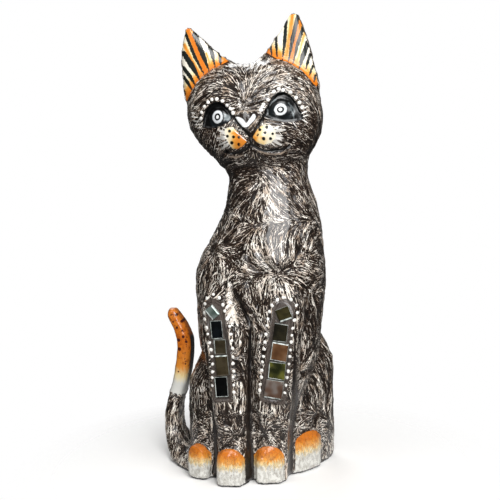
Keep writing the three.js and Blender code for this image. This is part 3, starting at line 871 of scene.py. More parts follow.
SHADED_CHANNELS = [
    # channels between the limbs, x and z in the cat's frame, and their half widths; a groove is cut
    # along each, and its strokes are left out as painted shade
    ([(0.4, 110), (-0.8, 95), (-1.4, 65), (-2, 35), (-1.3, 10), (-1, -3)], (0.8, 0.7, 0.9, 1.2, 3, 3.4)),
    ([(-30.1, 98), (-29.3, 82), (-28.6, 55), (-27.3, 38), (-26.8, -3)], (0.8, 1, 1.3, 1.5, 1.5)),
    ([(31.6, 107.5), (30.4, 81.4), (28.8, 55), (25.4, 33.5), (24.1, -3)], (0.5, 0.8, 1, 1.2, 1.2)),
    ([(-12.5, 142.8), (-7.7, 132.6), (-4.9, 124.7), (-1.7, 115.5), (0.4, 109.9)], (0.2, 1.4, 1.5, 1.1, 0.8)),
]
BAND_DEPTH = 0.7
BAND_WALL = 1.2
SHADED_PLACES = [
    # painted shade, where the strokes are fewer: x, y, z, reach and how much fewer
    (-28, -20, 208, 28, 0.65), (2, -30, 220, 16, 0.35), (42, -20, 232, 20, 0.4), (-34, -22, 228, 18, 0.3),
    (-12, -44, 44, 14, 0.35), (-2, -40, 126, 8, 0.4), (-42, -20, 88, 22, 0.35), (-44, -10, 40, 20, 0.3),
    (26, -30, 50, 12, 0.2), (-16, -34, 262, 16, 0.12), (-4, -38, 190, 14, 0.25), (38, -10, 118, 26, 0.25),
    (0, -40, 82, 16, 0.2), (46, 10, 70, 30, 0.2),
]
DARK_BLOTS = [
    [(-24.5, 33), (-17.9, 29.7), (-9.1, 33.6), (-4.6, 40.9), (-12, 42), (-22, 40)],
    [(-25.9, 59.4), (-12, 57.2), (-13.9, 50.1), (-25.3, 49.7)],
    [(8.8, 63.1), (24.1, 61), (20.6, 53.8), (9.5, 55.2)],
]
normals = normals_of(skin_mesh, points)
band = np.max([-line_distance(points[:, 0], points[:, 2], *pair) for pair in SHADED_CHANNELS], axis=0)
blot = inside_any(points[:, 0], points[:, 2], DARK_BLOTS)
in_front = ramp(-0.2, 0.1, -normals[:, 1]) * (points[:, 1] < IN_FRONT_OF["band"])
points -= normals * (BAND_DEPTH * ramp(-BAND_WALL, BAND_WALL, band) * in_front)[:, None]
print("vertices in dark bands:", int(((band > 0) & (in_front > 0.5)).sum()))
strewn_at = points[strewn.choice(len(points), STREWN["tries"], replace=False)]
kept = [place for place in strewn_at if STREWN["low"] < place[2] < STREWN["high"]]
whorls = WHORLS + [(*place, STREWN["reach"], STREWN["strength"]) for place in kept]
flow = np.zeros_like(points)
flow[:, 2] = -1
for x, y, z, reach, strength in whorls:
    away = points - (x, y, z)
    distance = np.linalg.norm(away, axis=1, keepdims=True)
    flow += strength * away / np.maximum(distance, WHORL_CORE) * np.exp(-((distance / reach) ** 2))
flow = unit(flow - normals * np.sum(flow * normals, axis=1, keepdims=True))
print("whorls:", len(whorls))

# %% [markdown]
# ## Nicks of the gouge
#
# Real relief, not only colour: short grooves along the fur. Even random noise averaged along the
# direction of the fur turns into streaks, because neighbours on one streak share most of their
# samples and neighbours across it don't. The skin is moved along its normals by these streaks, most
# often by less than half a millimetre, and hardly where the real surface was left smooth.


# %% Streaks
HASH_PRIMES = (73856093, 19349663, 83492791)
HASH_SEED = 2654435761
HASH_MIX = 1274126177


def grain(places, size, seed):
    """Smooth random values in -1..1 on a lattice of cubes.

    Each corner has a hashed number, and they are blended by 3t^2 - 2t^3 along each axis.
    """
    cell = np.floor(places / size).astype(np.int64)
    t = places / size - cell
    t = t * t * (3 - 2 * t)
    total = np.zeros(len(places))
    for corner in np.ndindex(2, 2, 2):
        i, j, k = ((cell + corner) * HASH_PRIMES).T
        mixed = i ^ j ^ k ^ (seed * HASH_SEED)
        mixed = (mixed ^ (mixed >> 13)) * HASH_MIX & 0xFFFFFFFF
        value = ((mixed ^ (mixed >> 16)) & 0xFFFF) / 32767.5 - 1
        share = np.prod([t[:, a] if corner[a] else 1 - t[:, a] for a in range(3)], axis=0)
        total += value * share
    return total


def streaks(places, direction, size, reach, seed, samples):
    """Mean of the grain at points spaced along the direction, brought to a spread of one."""
    steps = np.linspace(-reach, reach, samples)
    total = np.mean([grain(places + direction * step, size, seed) for step in steps], axis=0)
    return (total - total.mean()) / total.std()


DRIFT = {"angle": 0.5, "size": 22, "seed": 5}
CROSSING = {"angle": 0.6, "size": 9, "seed": 9}
NICK = {"size": 2, "reach": 5.5, "seed": 1, "samples": 11}
side_way = np.cross(normals, flow)
drift = DRIFT["angle"] * grain(points, DRIFT["size"], DRIFT["seed"])[:, None]
flow = unit(flow * np.cos(drift) + side_way * np.sin(drift))
crossing = CROSSING["angle"] * np.sign(grain(points, CROSSING["size"], CROSSING["seed"]))[:, None]
flow_across = unit(flow * np.cos(crossing) + side_way * np.sin(crossing))
nicks = np.clip(streaks(points, flow, **NICK), -2, 2)

# %% [markdown]
# ## Where each paint goes
#
# The painter's areas become one number per vertex each: how many millimetres inside the area the
# vertex lies. They are worked out on the finished form, so a border follows the carving.

# %% Drawings of the face and ears
EAR_ARC = {
    -1: [(-47.5, 6), (-45.4, 11), (-41.8, 16.3), (-31.5, 26.8), (-23.4, 31.6), (-12, 36.7), (-5, 38.6)],
    1: [(8, 42), (13.1, 38.8), (21.1, 32.8), (30, 27), (37.8, 18.6), (45.7, 10.8), (49, 6)],
}
EAR_STRIPES = {
    # foot, middle, head and half width of each black stripe
    -1: [
        ((-18, 34.6), (-18.1, 38.1), (-18.2, 42.6), 1.15), ((-21.8, 33.8), (-22.8, 41.5), (-24.6, 49), 1.4),
        ((-26.1, 31), (-29.4, 43.4), (-33.4, 57.5), 1.8), ((-29.6, 28.6), (-35, 42.5), (-39.6, 58.6), 1.25),
        ((-32.6, 25.1), (-37.6, 36.6), (-42.4, 45.6), 2), ((-36.2, 22.2), (-39.9, 30), (-44, 36.2), 1.5),
        ((-39.1, 19.5), (-41.9, 25.6), (-44.6, 30.2), 1.3),
    ],
    1: [
        ((17.2, 36.4), (16.8, 40.1), (16.4, 44.6), 0.85), ((20.4, 35.4), (20.7, 42.3), (21.2, 49.4), 1),
        ((23.9, 32.8), (26.7, 45.1), (29, 58.4), 1.25), ((27.4, 30.4), (31.8, 45.1), (37.8, 62), 1.5),
        ((30.3, 29), (34.7, 41.1), (40.2, 53.6), 1.3), ((34, 24.8), (37.4, 33), (41.8, 42.6), 1.7),
        ((38.5, 25), (40.7, 30.2), (42.4, 34.4), 1), ((40.6, 20.6), (41.8, 23.4), (43.6, 26.6), 0.85),
        ((43, 15.8), (43.9, 18.8), (44.6, 20.4), 0.75), ((41.8, 43), (43.6, 38.8), (44.6, 35.6), 0.9),
    ],
}
EAR_WARM = {
    # strips that stay orange to the tip: foot, middle, head, half width and strength
    -1: [
        ((-28, 29), (-32.3, 43.2), (-37.6, 62.5), 2.1, 1.25),
        ((-31.3, 26.9), (-37, 39.3), (-41.2, 51), 1.7, 0.8),
        ((-23.8, 31), (-25.4, 38), (-27, 44), 1.5, 0.5),
    ],
    1: [
        ((29, 29.3), (33.4, 43.7), (40, 60), 1.4, 1.2),
        ((25.6, 31.4), (29.6, 45.4), (34.2, 62.5), 2.2, 0.75),
        ((32.2, 26.4), (36.6, 39.1), (40.4, 49), 1.8, 0.5),
    ],
}
PATCH_OUTLINE = {
    -1: [
        (-17.4, -7.4), (-14.3, -6.4), (-11.6, -7.2), (-7.8, -12.1), (-3.5, -17), (-6.7, -20), (-10.5, -21.8),
        (-14.6, -20.9), (-16.4, -16.3), (-17.6, -11.6),
    ],
    1: [
        (0.4, -15), (2.3, -11.6), (5.9, -9), (9.4, -7.6), (13.2, -8.6), (15.6, -12), (15.6, -16.3),
        (12.2, -20.4), (6.7, -20.6), (2.5, -18.4),
    ],
}
PATCH_FRINGE = [
    # the outline of the white brush strokes round the right and the left patch
    [(-14, -5.6), (-20.4, -6.4), (-24.4, -10.5), (-24, -17.5), (-20.4, -22), (-14, -22.6), (-12, -14)],
    [
        (9, -6.8), (16.4, -8.6), (22.6, -13), (22.2, -19.5), (16.8, -23.8), (9, -24.2), (3.2, -21.4),
        (9, -14),
    ],
]
FRINGE_MIDDLES = [(-9, -13), (6.5, -13.5)]
NOSE_WHITE = [
    (-10.4, -1.4), (-9.2, -0.6), (-7.6, -0.7), (-5.7, -1.5), (-4.2, -2.7), (-3.1, -4.6), (-2.6, -5.7),
    (-1, -3.9), (0.9, -1.8), (2.4, -0.1), (3.7, -0.1), (4.3, -1.9), (3.2, -3.7), (0.7, -5.8), (-1.5, -7.6),
    (-3.5, -8), (-6, -6.9), (-8.3, -4),
]
NOSE_SHADE = [
    (-9.6, 0.4), (-5, 1.2), (0, 0.8), (4.6, 1), (8.4, -1), (4.6, -4.6), (0, -9), (-1.4, -12.4), (-6.6, -5.4),
]
GLINTS = [
    # painted reflections on the balls of the eyes: grey strokes and their half width
    ([(13.8, 4.1), (15.6, 6.2), (18.1, 7.5)], 0.5), ([(26.1, 4.2), (28.3, 1), (29.2, -2.1)], 0.4),
    ([(26.7, 0.9), (28.2, -3.2), (28.4, -6.5)], 0.45), ([(12.2, 2), (12, -1.2)], 0.45),
]
# A painted reflection on the ball of the cat's right eye.
GLINT_PATCH = [(-17.6, 3), (-15.2, 2.2), (-12.9, 0.7), (-12.3, -1.7), (-14.6, -2.7), (-17, -1.8)]
MOUTH_LIGHT = [
    [(-9.5, 1.6), (-4.9, 2.7), (-0.6, 2), (4.1, 2.2)],
    [(-1.1, -8.8), (2, -6.2), (4.5, -3.7), (6.4, -2)],
    [(-8, -26.2), (-13, -27), (-18, -26.2)],
    [(2.6, -24.6), (9, -27.6), (17, -28.2), (23.6, -26.2)],
]
LINE_HALF = {"dark": 0.95, "light": 0.45}
FAR = -9.0
ON_FACE = 0.4
HEAD_STROKES_FROM = -34
HEAD_FINENESS = 1.12
RIGHT_TURN = 5
PATCH_FADE = {
    # where a patch starts to pale and over how many millimetres
    "right_across": (12.2, 4.5), "right_up": (-10.5, 4), "left_across": (2.5, 10),
}
STRIPE_FOOT = 0.35
STRIPE_HEAD = 0.9
EAR_FACING = (0.5, 6)
EAR_FRONT_UNTIL = 2
ABOVE_THE_EARS = [(70, 6), (70, 90), (6, 90)]
WARM_FOOT = (1.6, 6.5)
WARM_TIP = (1, 9)
WARM_STRIP = (0.4, 0.8)
EAR_RIM_HALF = 0.6

# %% Areas of the face
head_points = to_head(points)
head_normals = normals @ HEAD_MATRIX
hx, hz = head_points[:, 0], head_points[:, 2]
behind = np.where(face_share > ON_FACE, 0, FAR)
on_right = hx < 0
pale = {
    name: ((hz if name == "right_up" else np.abs(hx)) - start) / over
    for name, (start, over) in PATCH_FADE.items()
}
areas = {
    "eye": inside_any(hx, hz, eye_outlines.values()) + behind,
    "patch": inside_any(hx, hz, PATCH_OUTLINE.values()) + behind,
    "patch_fade": np.where(
        on_right, np.maximum(pale["right_across"], pale["right_up"]), pale["left_across"]
    ),
    "fringe": inside_any(hx, hz, PATCH_FRINGE) + behind,
    "nose_white": inside_distance(hx, hz, NOSE_WHITE) + behind,
    "nose_shade": inside_distance(hx, hz, NOSE_SHADE) + behind,
    "dark_line": behind + LINE_HALF["dark"] - nearest_line(hx, hz, MOUTH_LINES + [NOSE_EDGE]),
    "light_line": behind + LINE_HALF["light"] - nearest_line(hx, hz, MOUTH_LIGHT),
    "fineness": np.where(hz > HEAD_STROKES_FROM, HEAD_FINENESS, 1),
}
side_middle = np.where(on_right[:, None], *FRINGE_MIDDLES)
fringe_angle = np.arctan2(hz - side_middle[:, 1], np.abs(hx - side_middle[:, 0]))
areas["fringe_turn"] = fringe_angle + on_right * RIGHT_TURN
# Painted reflections on the balls of the eyes.
glints = [half - line_distance(hx, hz, line) for line, half in GLINTS]
areas["glint"] = np.max([inside_distance(hx, hz, GLINT_PATCH)] + glints, axis=0) + behind

# %% Areas of the ears
faces_front, steepness = EAR_FACING
at_front = np.where(head_points[:, 1] < EAR_FRONT_UNTIL, -FAR, FAR)
ear_front = np.minimum((-head_normals[:, 1] - faces_front) * steepness, at_front)
ear_area, ear_stripe, ear_warm = np.full((3, len(points)), FAR)
for side in SIDES:
    arc = EAR_ARC[side]
    above = [(side * x, z) for x, z in ABOVE_THE_EARS]
    ear_area = np.maximum(ear_area, inside_distance(hx, hz, arc[::side] + above))
    for *line, half in EAR_STRIPES[side]:
        stripe = line_distance(hx, hz, line, (STRIPE_FOOT, half, half * STRIPE_HEAD))
        ear_stripe = np.maximum(ear_stripe, -stripe)
    tip_x, tip_z = EAR_WARM[side][0][2]
    warmth = [
        WARM_FOOT[0] - line_distance(hx, hz, arc) / WARM_FOOT[1],
        WARM_TIP[0] - np.hypot(hx - tip_x, hz - tip_z) / WARM_TIP[1],
    ]
    for *line, half, strength in EAR_WARM[side]:
        warmth.append(strength + WARM_STRIP[0] - WARM_STRIP[1] * line_distance(hx, hz, line) / half)
    ear_warm = np.maximum(ear_warm, np.max(warmth, axis=0))
areas["ear"] = np.minimum(ear_area, ear_front)
areas["ear_stripe"] = ear_stripe
areas["ear_warm"] = ear_warm
areas["ear_rim"] = EAR_RIM_HALF - np.abs(ear_area) + np.minimum(ear_front, 0)

# %% Areas of the tail
TAIL_REACH = 8
TAIL_BEYOND = {"x": -40, "z": 36}
NO_TIP = 300.0
PLAIN_TIP = 14
INNER_FACING = (0.97, 12)
TAIL_SMOOTH = {"painted": 65, "nicked": 72}
x, y, z = points.T
right_side = np.flatnonzero((x < TAIL_BEYOND["x"]) & (z > TAIL_BEYOND["z"]))
steps = np.hypot(x[right_side][:, None] - tail_line[::8, 0], z[right_side][:, None] - tail_line[::8, 1])
near_tail = steps.min(axis=1) < TAIL_REACH
tip_distance = np.full(len(points), NO_TIP)
tip_distance[right_side[near_tail]] = tail_reach[-1] - tail_reach[::8][steps.argmin(axis=1)[near_tail]]
areas["tail_tip"] = tip_distance
inner_side = (normals[:, 0] - INNER_FACING[0]) * INNER_FACING[1]
areas["tail_inner"] = inner_side + FAR * (tip_distance < PLAIN_TIP)

# %% Areas of the paws
PAW_PAINT = {"reach": 1.06, "arch": 1.02, "arch_drop": 0.24, "arch_power": 2.6, "back": 0.6}
# Painted shade on the sides of the paws that face sideways, and a dark line along the foot that is partly
# the base's own paint and partly painted shade.
PAW_SIDE_SHADE = {"below": 0.8, "front": -0.55, "reach": 1.1, "sideways": 0.95}
FOOT_LINE_AND_SHADE = 1.4
paw_area, paw_side_shade = np.full((2, len(points)), FAR)
paw_share = np.zeros(len(points))
for px, py, half, deep, height, turn in PAWS.values():
    ahead, aside = math.sin(turn * DEGREE), math.cos(turn * DEGREE)
    u = (x - px) * aside + (y - py) * ahead
    v = -(x - px) * ahead + (y - py) * aside
    out = ((np.abs(u) / half) ** PAW_SQUARE + (np.abs(v) / deep) ** PAW_SQUARE) ** (1 / PAW_SQUARE)
    drop_off = PAW_PAINT["arch_drop"] * np.clip(np.abs(u) / half, 0, 1.1) ** PAW_PAINT["arch_power"]
    inside = np.minimum((PAW_PAINT["reach"] - out) * half, height * (PAW_PAINT["arch"] - drop_off) - z)
    in_back = v > deep * PAW_PAINT["back"]
    inside = np.where(in_back, FAR, inside)
    paw_share = np.where(inside > paw_area, z / height, paw_share)
    paw_area = np.maximum(paw_area, inside)
    sideways = np.abs(normals[:, 0] * aside + normals[:, 1] * ahead)
    on_side = (z < height * PAW_SIDE_SHADE["below"]) & (v > deep * PAW_SIDE_SHADE["front"]) & (out < PAW_SIDE_SHADE["reach"])
    side_shade = (sideways - PAW_SIDE_SHADE["sideways"]) * 8
    paw_side_shade = np.maximum(paw_side_shade, np.where(on_side & ~in_back, side_shade, FAR))
areas["paw"] = paw_area
areas["paw_share"] = paw_share
areas["foot_line"] = np.maximum(FOOT_LINE_AND_SHADE - z, paw_side_shade)

# %% Areas of the mirror fields and the fur
FIELD_MARGIN = 1.2
HOLLOW_ROUNDS = 14
areas["mirror_field"] = np.full(len(points), FAR)
for side in PANELS:
    _, pocket, near = in_pocket(points, side)
    in_field = np.where(near, pocket + FIELD_MARGIN, FAR)
    areas["mirror_field"] = np.maximum(areas["mirror_field"], in_field)
# How deep each vertex lies in a hollow; the paint darkens the hollows by it, as painted shade.
areas["hollow"] = np.sum((smoothed(points, skin_edges, HOLLOW_ROUNDS) - points) * normals, axis=1)
bare = np.max([areas[key] for key in ("eye", "patch", "ear", "paw", "mirror_field", "nose_white")], axis=0)
bare = np.maximum(bare, np.where(tip_distance < TAIL_SMOOTH["painted"], 1, FAR))
furry = 1 - ramp(-0.6, 0.4, bare)
# Painted shade: the strokes fade out in the hollows.
furry *= 1 - 0.75 * ramp(0.5, 1.2, areas["hollow"])
furry *= ramp(0.3, 2.5, z)
# Painted shade: the strokes are left out of the channels between the limbs; they are also thinned in the
# dark blots.
furry *= 1 - in_front * np.maximum(0.9 * ramp(-1.0, 0.6, band), 0.5 * ramp(-1.5, 2.5, blot))
areas["fur"] = furry
# Painted shade: fewer strokes near the shaded places; together with the facets' painted highlight this is
# the cover.
shade_share = np.zeros(len(points))
for *place, reach, amount in SHADED_PLACES:
    away = np.sum((points - place) ** 2, axis=1)
    shade_share = np.maximum(shade_share, amount * np.exp(-(away / reach**2)))
areas["cover"] = facet_painted_highlight - shade_share
areas["nick"] = nicks * (1.4 - 0.8 * ramp(190, 240, z))
print({key: (round(float(v.min()), 1), round(float(v.max()), 1)) for key, v in areas.items()})

# %% Cut the nicks and keep the numbers on the mesh
NICK_DEPTH = 0.38
rough = np.maximum(furry, 0.4 * ((tip_distance < TAIL_SMOOTH["nicked"]) | (paw_area > 0)))
points = points + normals * (NICK_DEPTH * nicks * rough * (1 - 0.75 * facet_share))[:, None]
points[:, 2] = np.maximum(points[:, 2], 0)
skin_mesh.vertices.foreach_set("co", (points * MM).astype(np.float32).ravel())
for name, values in areas.items():
    attribute = skin_mesh.attributes.new(name, "FLOAT", "POINT")
    attribute.data.foreach_set("value", values.astype(np.float32))
for name, values in (("fur_flow", flow), ("fur_across", flow_across)):
    attribute = skin_mesh.attributes.new(name, "FLOAT_VECTOR", "POINT")
    attribute.data.foreach_set("vector", values.astype(np.float32).ravel())
skin_mesh.polygons.foreach_set("use_smooth", np.ones(len(skin_mesh.polygons), bool))
skin_mesh.update()
skin_mesh.name = "painted_cat"
painted_cat = bpy.data.objects.new("painted_cat", skin_mesh)
bpy.context.scene.collection.objects.link(painted_cat)
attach(painted_cat, "root")
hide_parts("carved_cat")

# %% [markdown]
# ## Colours and nodes
#
# Colours are written as they look on a screen, and one function turns them to the linear values
# that light is worked out in. One more function adds a node with its settings, plain values and
# links; every material below is a list of such calls. Most of them end in the same step, a paint
# laid over what is there where some value is high enough, so that step is a function too.


# %% Colour and node helpers
def linear(colour):
    """A hex colour as linear red, green, blue and alpha.

    Below 0.04045 a part c becomes c/12.92, above it ((c+0.055)/1.055)^2.4.
    """
    parts = [int(colour[i : i + 2], 16) / 255 for i in (1, 3, 5)]
    return (*[c / 12.92 if c <= 0.04045 else ((c + 0.055) / 1.055) ** 2.4 for c in parts], 1)


def add(tree, kind, inputs=None, stops=(), output=0, **settings):
    """One node; what comes back is its output socket of that number or name, if it has any.

    inputs maps a socket's name or number to a plain value, a hex colour or another node's socket,
    and stops are the (place, hex colour) pairs of a colour ramp.
    """
    made = tree.nodes.new("ShaderNode" + kind)
    for key, value in settings.items():
        setattr(made, key, value)
    for place, _ in stops[2:]:
        made.color_ramp.elements.new(place)
    for element, (place, stop_colour) in zip(made.color_ramp.elements if stops else (), stops):
        element.position = place
        element.color = linear(stop_colour)
    for key, value in (inputs or {}).items():
        if isinstance(value, bpy.types.NodeSocket):
            tree.links.new(value, made.inputs[key])
        else:
            made.inputs[key].default_value = linear(value) if isinstance(value, str) else value
    return made.outputs[output] if made.outputs else None


def laid_over(tree, colour, paint, value, low, high, strength=1.0, where=None):
    """The colour under a paint whose share rises from 0 to strength as value goes from low to high.

    The share is also multiplied by the socket where, if one is given.
    """
    share = add(tree, "MapRange", {"Value": value, 1: low, 2: high, 3: 0.0, 4: strength})
    if where is not None:
        share = add(tree, "Math", {0: share, 1: where}, operation="MULTIPLY")
    return add(tree, "Mix", {0: share, 6: colour, 7: paint}, output=2, data_type="RGBA")


def fresh_material(name):
    """A material with an empty node tree, the tree, and the place on the piece in millimetres."""
    material = bpy.data.materials.new(name)
    material.use_nodes = True
    tree = material.node_tree
    tree.nodes.clear()
    place = add(tree, "TexCoord", output="Object")
    return material, tree, add(tree, "VectorMath", {0: place, "Scale": 1000}, operation="SCALE")


# %% [markdown]
# ## Painted and varnished wood
#
# Poster paint on soft wood, under a brushed coat of clear gloss varnish. The ground is a brown
# black. Fine cream strokes, a little over half a millimetre wide, follow the fur in two crossing
# layers over a fainter brown one. They are denser on ridges and finer on the head. As painted
# shade they are left out of the hollows, which are darkened as well, out of the channels between
# the limbs and partly out of places in shade; on the flat facets more of them paint a highlight.
# They are made as the nicks were: noise averaged along the fur's direction.

# %% Fur strokes
cat_paint, tree, in_mm = fresh_material("painted_varnished_wood")
area = {name: add(tree, "Attribute", output="Fac", attribute_name=name) for name in areas}
NOISES = {
    # specks per millimetre and octaves of each noise that has no direction
    "patchy": (1 / 12, 2), "tone": (1 / 5, 2), "uneven": (0.7, 2), "worn": (0.35, 4), "ragged": (1.1, 2),
    "freckle": (0.62, 1),
}
STRETCHED = {
    # specks per millimetre along x, y and z of the two that run down the piece
    "bristle": (1.6, 1.6, 0.22), "streak": (0.6, 0.6, 0.34),
}
noise = {
    name: add(tree, "TexNoise", {"Vector": in_mm, "Scale": scale, "Detail": detail})
    for name, (scale, detail) in NOISES.items()
}
for name, scale in STRETCHED.items():
    stretched = add(tree, "VectorMath", {0: in_mm, 1: scale}, operation="MULTIPLY")
    noise[name] = add(tree, "TexNoise", {"Vector": stretched, "Scale": 1.0, "Detail": 3.0})
MASKS = {
    # an area's value at which the mask starts and is full, and its least share
    "fur": ("fur", 0.15, 0.75, 0.0), "paw_white": ("paw_share", 0.8, 0.5, 0.15),
    "paw_top": ("paw_share", 0.55, 0.75, 0.0), "tail_orange": ("tail_tip", 46.0, 42.0, 0.0),
    "socket": ("eye", 0.2, 0.5, 0.0), "whiskers": ("fringe", -5.0, -4.0, 0.0),
}
mask = {
    name: add(tree, "MapRange", {"Value": area[source], 1: start, 2: full, 3: least})
    for name, (source, start, full, least) in MASKS.items()
}

STROKE_WIDTH = 0.64
STROKE_SAMPLES = 17
STROKE_STEP = 0.6
MEAN = STROKE_SAMPLES * 0.5
LIFTS = {"nick": 0.14, "patchy": 0.45, "all": -0.18}
STROKE_EDGES = ((0.5, 0.64), (0.84, 0.96))
stroke_layers = []
stroke_place = add(tree, "VectorMath", {0: in_mm, "Scale": area["fineness"]}, operation="SCALE")
for layer in ("fur_flow", "fur_across"):
    direction = add(tree, "Attribute", output="Vector", attribute_name=layer)
    total = None
    for step in (np.arange(STROKE_SAMPLES) - STROKE_SAMPLES // 2) * STROKE_STEP:
        along = {0: direction, 1: (float(step),) * 3, 2: stroke_place}
        moved = add(tree, "VectorMath", along, operation="MULTIPLY_ADD")
        speck = add(tree, "TexNoise", {"Vector": moved, "Scale": 1 / STROKE_WIDTH, "Detail": 0.0})
        total = speck if total is None else add(tree, "Math", {0: total, 1: speck})
    stroke_layers.append(total)
nicked = {0: area["nick"], 1: LIFTS["nick"], 2: LIFTS["all"]}
lift = add(tree, "Math", nicked, operation="MULTIPLY_ADD")
lift = add(tree, "Math", {0: noise["patchy"], 1: LIFTS["patchy"], 2: lift}, operation="MULTIPLY_ADD")
# Painted highlight and shade: the cover adds strokes on the facets and takes them away where shade falls.
lift = add(tree, "Math", {0: area["cover"], 1: lift})
lifted = [add(tree, "Math", {0: total, 1: lift}) for total in stroke_layers]
strokes = [
    add(tree, "MapRange", {"Value": value, 1: MEAN + low, 2: MEAN + high})
    for value, (low, high) in zip(lifted, STROKE_EDGES)
]
stroke = add(tree, "Math", {0: strokes[0], 1: strokes[1]}, operation="MAXIMUM")
stroke = add(tree, "Math", {0: stroke, 1: mask["fur"]}, operation="MULTIPLY")

# %% Fur colours
UNDERTONE_EDGES = (-0.9, 0.7)
low, high = UNDERTONE_EDGES
undertone = add(tree, "MapRange", {"Value": stroke_layers[1], 1: MEAN + low, 2: MEAN + high})
ground = add(tree, "Mix", {0: undertone, 6: "#050403", 7: "#251b15"}, output=2, data_type="RGBA")
ground = laid_over(tree, ground, "#594a3f", lifted[0], MEAN - 0.05, MEAN + 0.4, where=mask["fur"])
cream = laid_over(tree, "#b6a18c", "#fffaf0", noise["tone"], 0.3, 0.65)
colour = add(tree, "Mix", {0: stroke, 6: ground, 7: cream}, output=2, data_type="RGBA")
# Painted shade: the hollows are darkened towards a near black.
colour = laid_over(tree, colour, "#0b0807", area["hollow"], 0.35, 1.1, 0.85)
print("stroke nodes:", len(tree.nodes))

# %% [markdown]
# ## Bright areas
#
# Ears, tail tip, paws and whisker patches are orange at one end and fade to cream or white, brushed
# while wet, so noise added to the value blurs the fade. Each is mixed over the fur where its
# distance is positive; a little noise on the distance gives the uneven edge of a brush.

# %% Values moved by the brush, and fades along them
BRUSHED = {
    # the noise that is added to an area's value, and how much of it
    "ear_warm": ("bristle", 0.6), "ear_stripe": ("ragged", 1.6), "tail_tip": ("bristle", 9.0),
    "paw_share": ("bristle", 0.35), "patch_fade": ("worn", 1.1), "glint": ("worn", 1.6),
}
PAW_WEAR = 0.3
AMBER = "#dd963c"
FADES = {
    # the values at both ends of a fade, and the colours between them
    "ear_warm": (0.25, 1.9, [(0.0, "#e9e4d4"), (0.3, "#ead9a8"), (0.52, AMBER), (0.8, "#cf721c")]),
    "tail_tip": (0.0, 100.0, [
        (0.0, "#dc8430"), (0.3, "#d27018"), (0.5, "#dc8c34"), (0.56, "#e9d29a"), (0.62, "#d6d6d0"),
    ]),
    "paw_share": (0.325, 1.325, [
        (0.42, "#c9c8c2"), (0.55, "#d9c08a"), (0.68, "#d28d36"), (0.86, "#c26c1e"),
    ]),
    "patch_fade": (0.0, 1.6, [(0.06, "#d4812a"), (0.3, AMBER), (0.56, "#e6c88c"), (0.85, "#e4dcc6")]),
}
brushed = {
    name: add(tree, "Math", {0: noise[kind], 1: amount, 2: area[name]}, operation="MULTIPLY_ADD")
    for name, (kind, amount) in BRUSHED.items()
}
worn_paw = {0: noise["worn"], 1: PAW_WEAR, 2: brushed["paw_share"]}
brushed["paw_share"] = add(tree, "Math", worn_paw, operation="MULTIPLY_ADD")
fade = {}
for name, (low, high, stops) in FADES.items():
    along = add(tree, "MapRange", {"Value": brushed[name], 1: low, 2: high})
    fade[name] = add(tree, "ValToRGB", {0: along}, stops)

# %% Stripes, wear and streaks on the fades
PAINTED_TAIL = 66.0
TAIL_RAGGED = 5.0
VEIN = (0.016, 0.006)
ear_colour = laid_over(tree, fade["ear_warm"], "#1a1f1c", brushed["ear_stripe"], 0.68, 0.92)
tail_colour = laid_over(tree, fade["tail_tip"], "#9a4214", noise["worn"], 0.5, 0.7, 0.7, mask["tail_orange"])
tail_colour = laid_over(
    tree, tail_colour, "#5f2410", noise["freckle"], 0.63, 0.68, 0.75, mask["tail_orange"]
)
tail_front = {0: PAINTED_TAIL - TAIL_RAGGED / 2, 1: area["tail_tip"]}
tail_front = add(tree, "Math", tail_front, operation="SUBTRACT")
tail_front = {0: noise["bristle"], 1: TAIL_RAGGED, 2: tail_front}
tail_front = add(tree, "Math", tail_front, operation="MULTIPLY_ADD")
outer = add(tree, "Math", {0: area["tail_inner"], 1: -1.0}, operation="MULTIPLY")
tail_front = add(tree, "Math", {0: tail_front, 1: outer}, operation="MINIMUM")
paw_colour = laid_over(
    tree, fade["paw_share"], "#746c61", noise["streak"], 0.48, 0.66, 0.6, mask["paw_white"]
)
off_middle = add(tree, "Math", {0: noise["streak"], 1: 0.5}, operation="SUBTRACT")
off_middle = add(tree, "Math", {0: off_middle}, operation="ABSOLUTE")
paw_colour = laid_over(tree, paw_colour, "#4d4136", off_middle, *VEIN, 0.7)
paw_colour = laid_over(tree, paw_colour, "#7a4418", noise["worn"], 0.54, 0.72, 0.6, mask["paw_top"])

# %% The white brush strokes round the whisker patches, and the mirror fields
FRINGE_FINENESS = 5.5
FRINGE_LENGTH = 8.0
FRINGE_FOOT = {"slope": 0.3, "start": -5.0}
fan = {"W": area["fringe_turn"], "Scale": FRINGE_FINENESS, "Detail": 1.0}
fan = add(tree, "TexNoise", fan, noise_dimensions="1D")
deeper = {0: area["fringe"], 1: FRINGE_FOOT["slope"], 2: FRINGE_FOOT["start"]}
deeper = add(tree, "Math", deeper, operation="MULTIPLY_ADD")
fan = add(tree, "Math", {0: fan, 1: FRINGE_LENGTH, 2: deeper}, operation="MULTIPLY_ADD")
fan = add(tree, "Math", {0: fan, 1: area["fringe"]}, operation="MINIMUM")
field_colour = add(tree, "Mix", {0: undertone, 6: "#2a2421", 7: "#5b524c"}, output=2, data_type="RGBA")

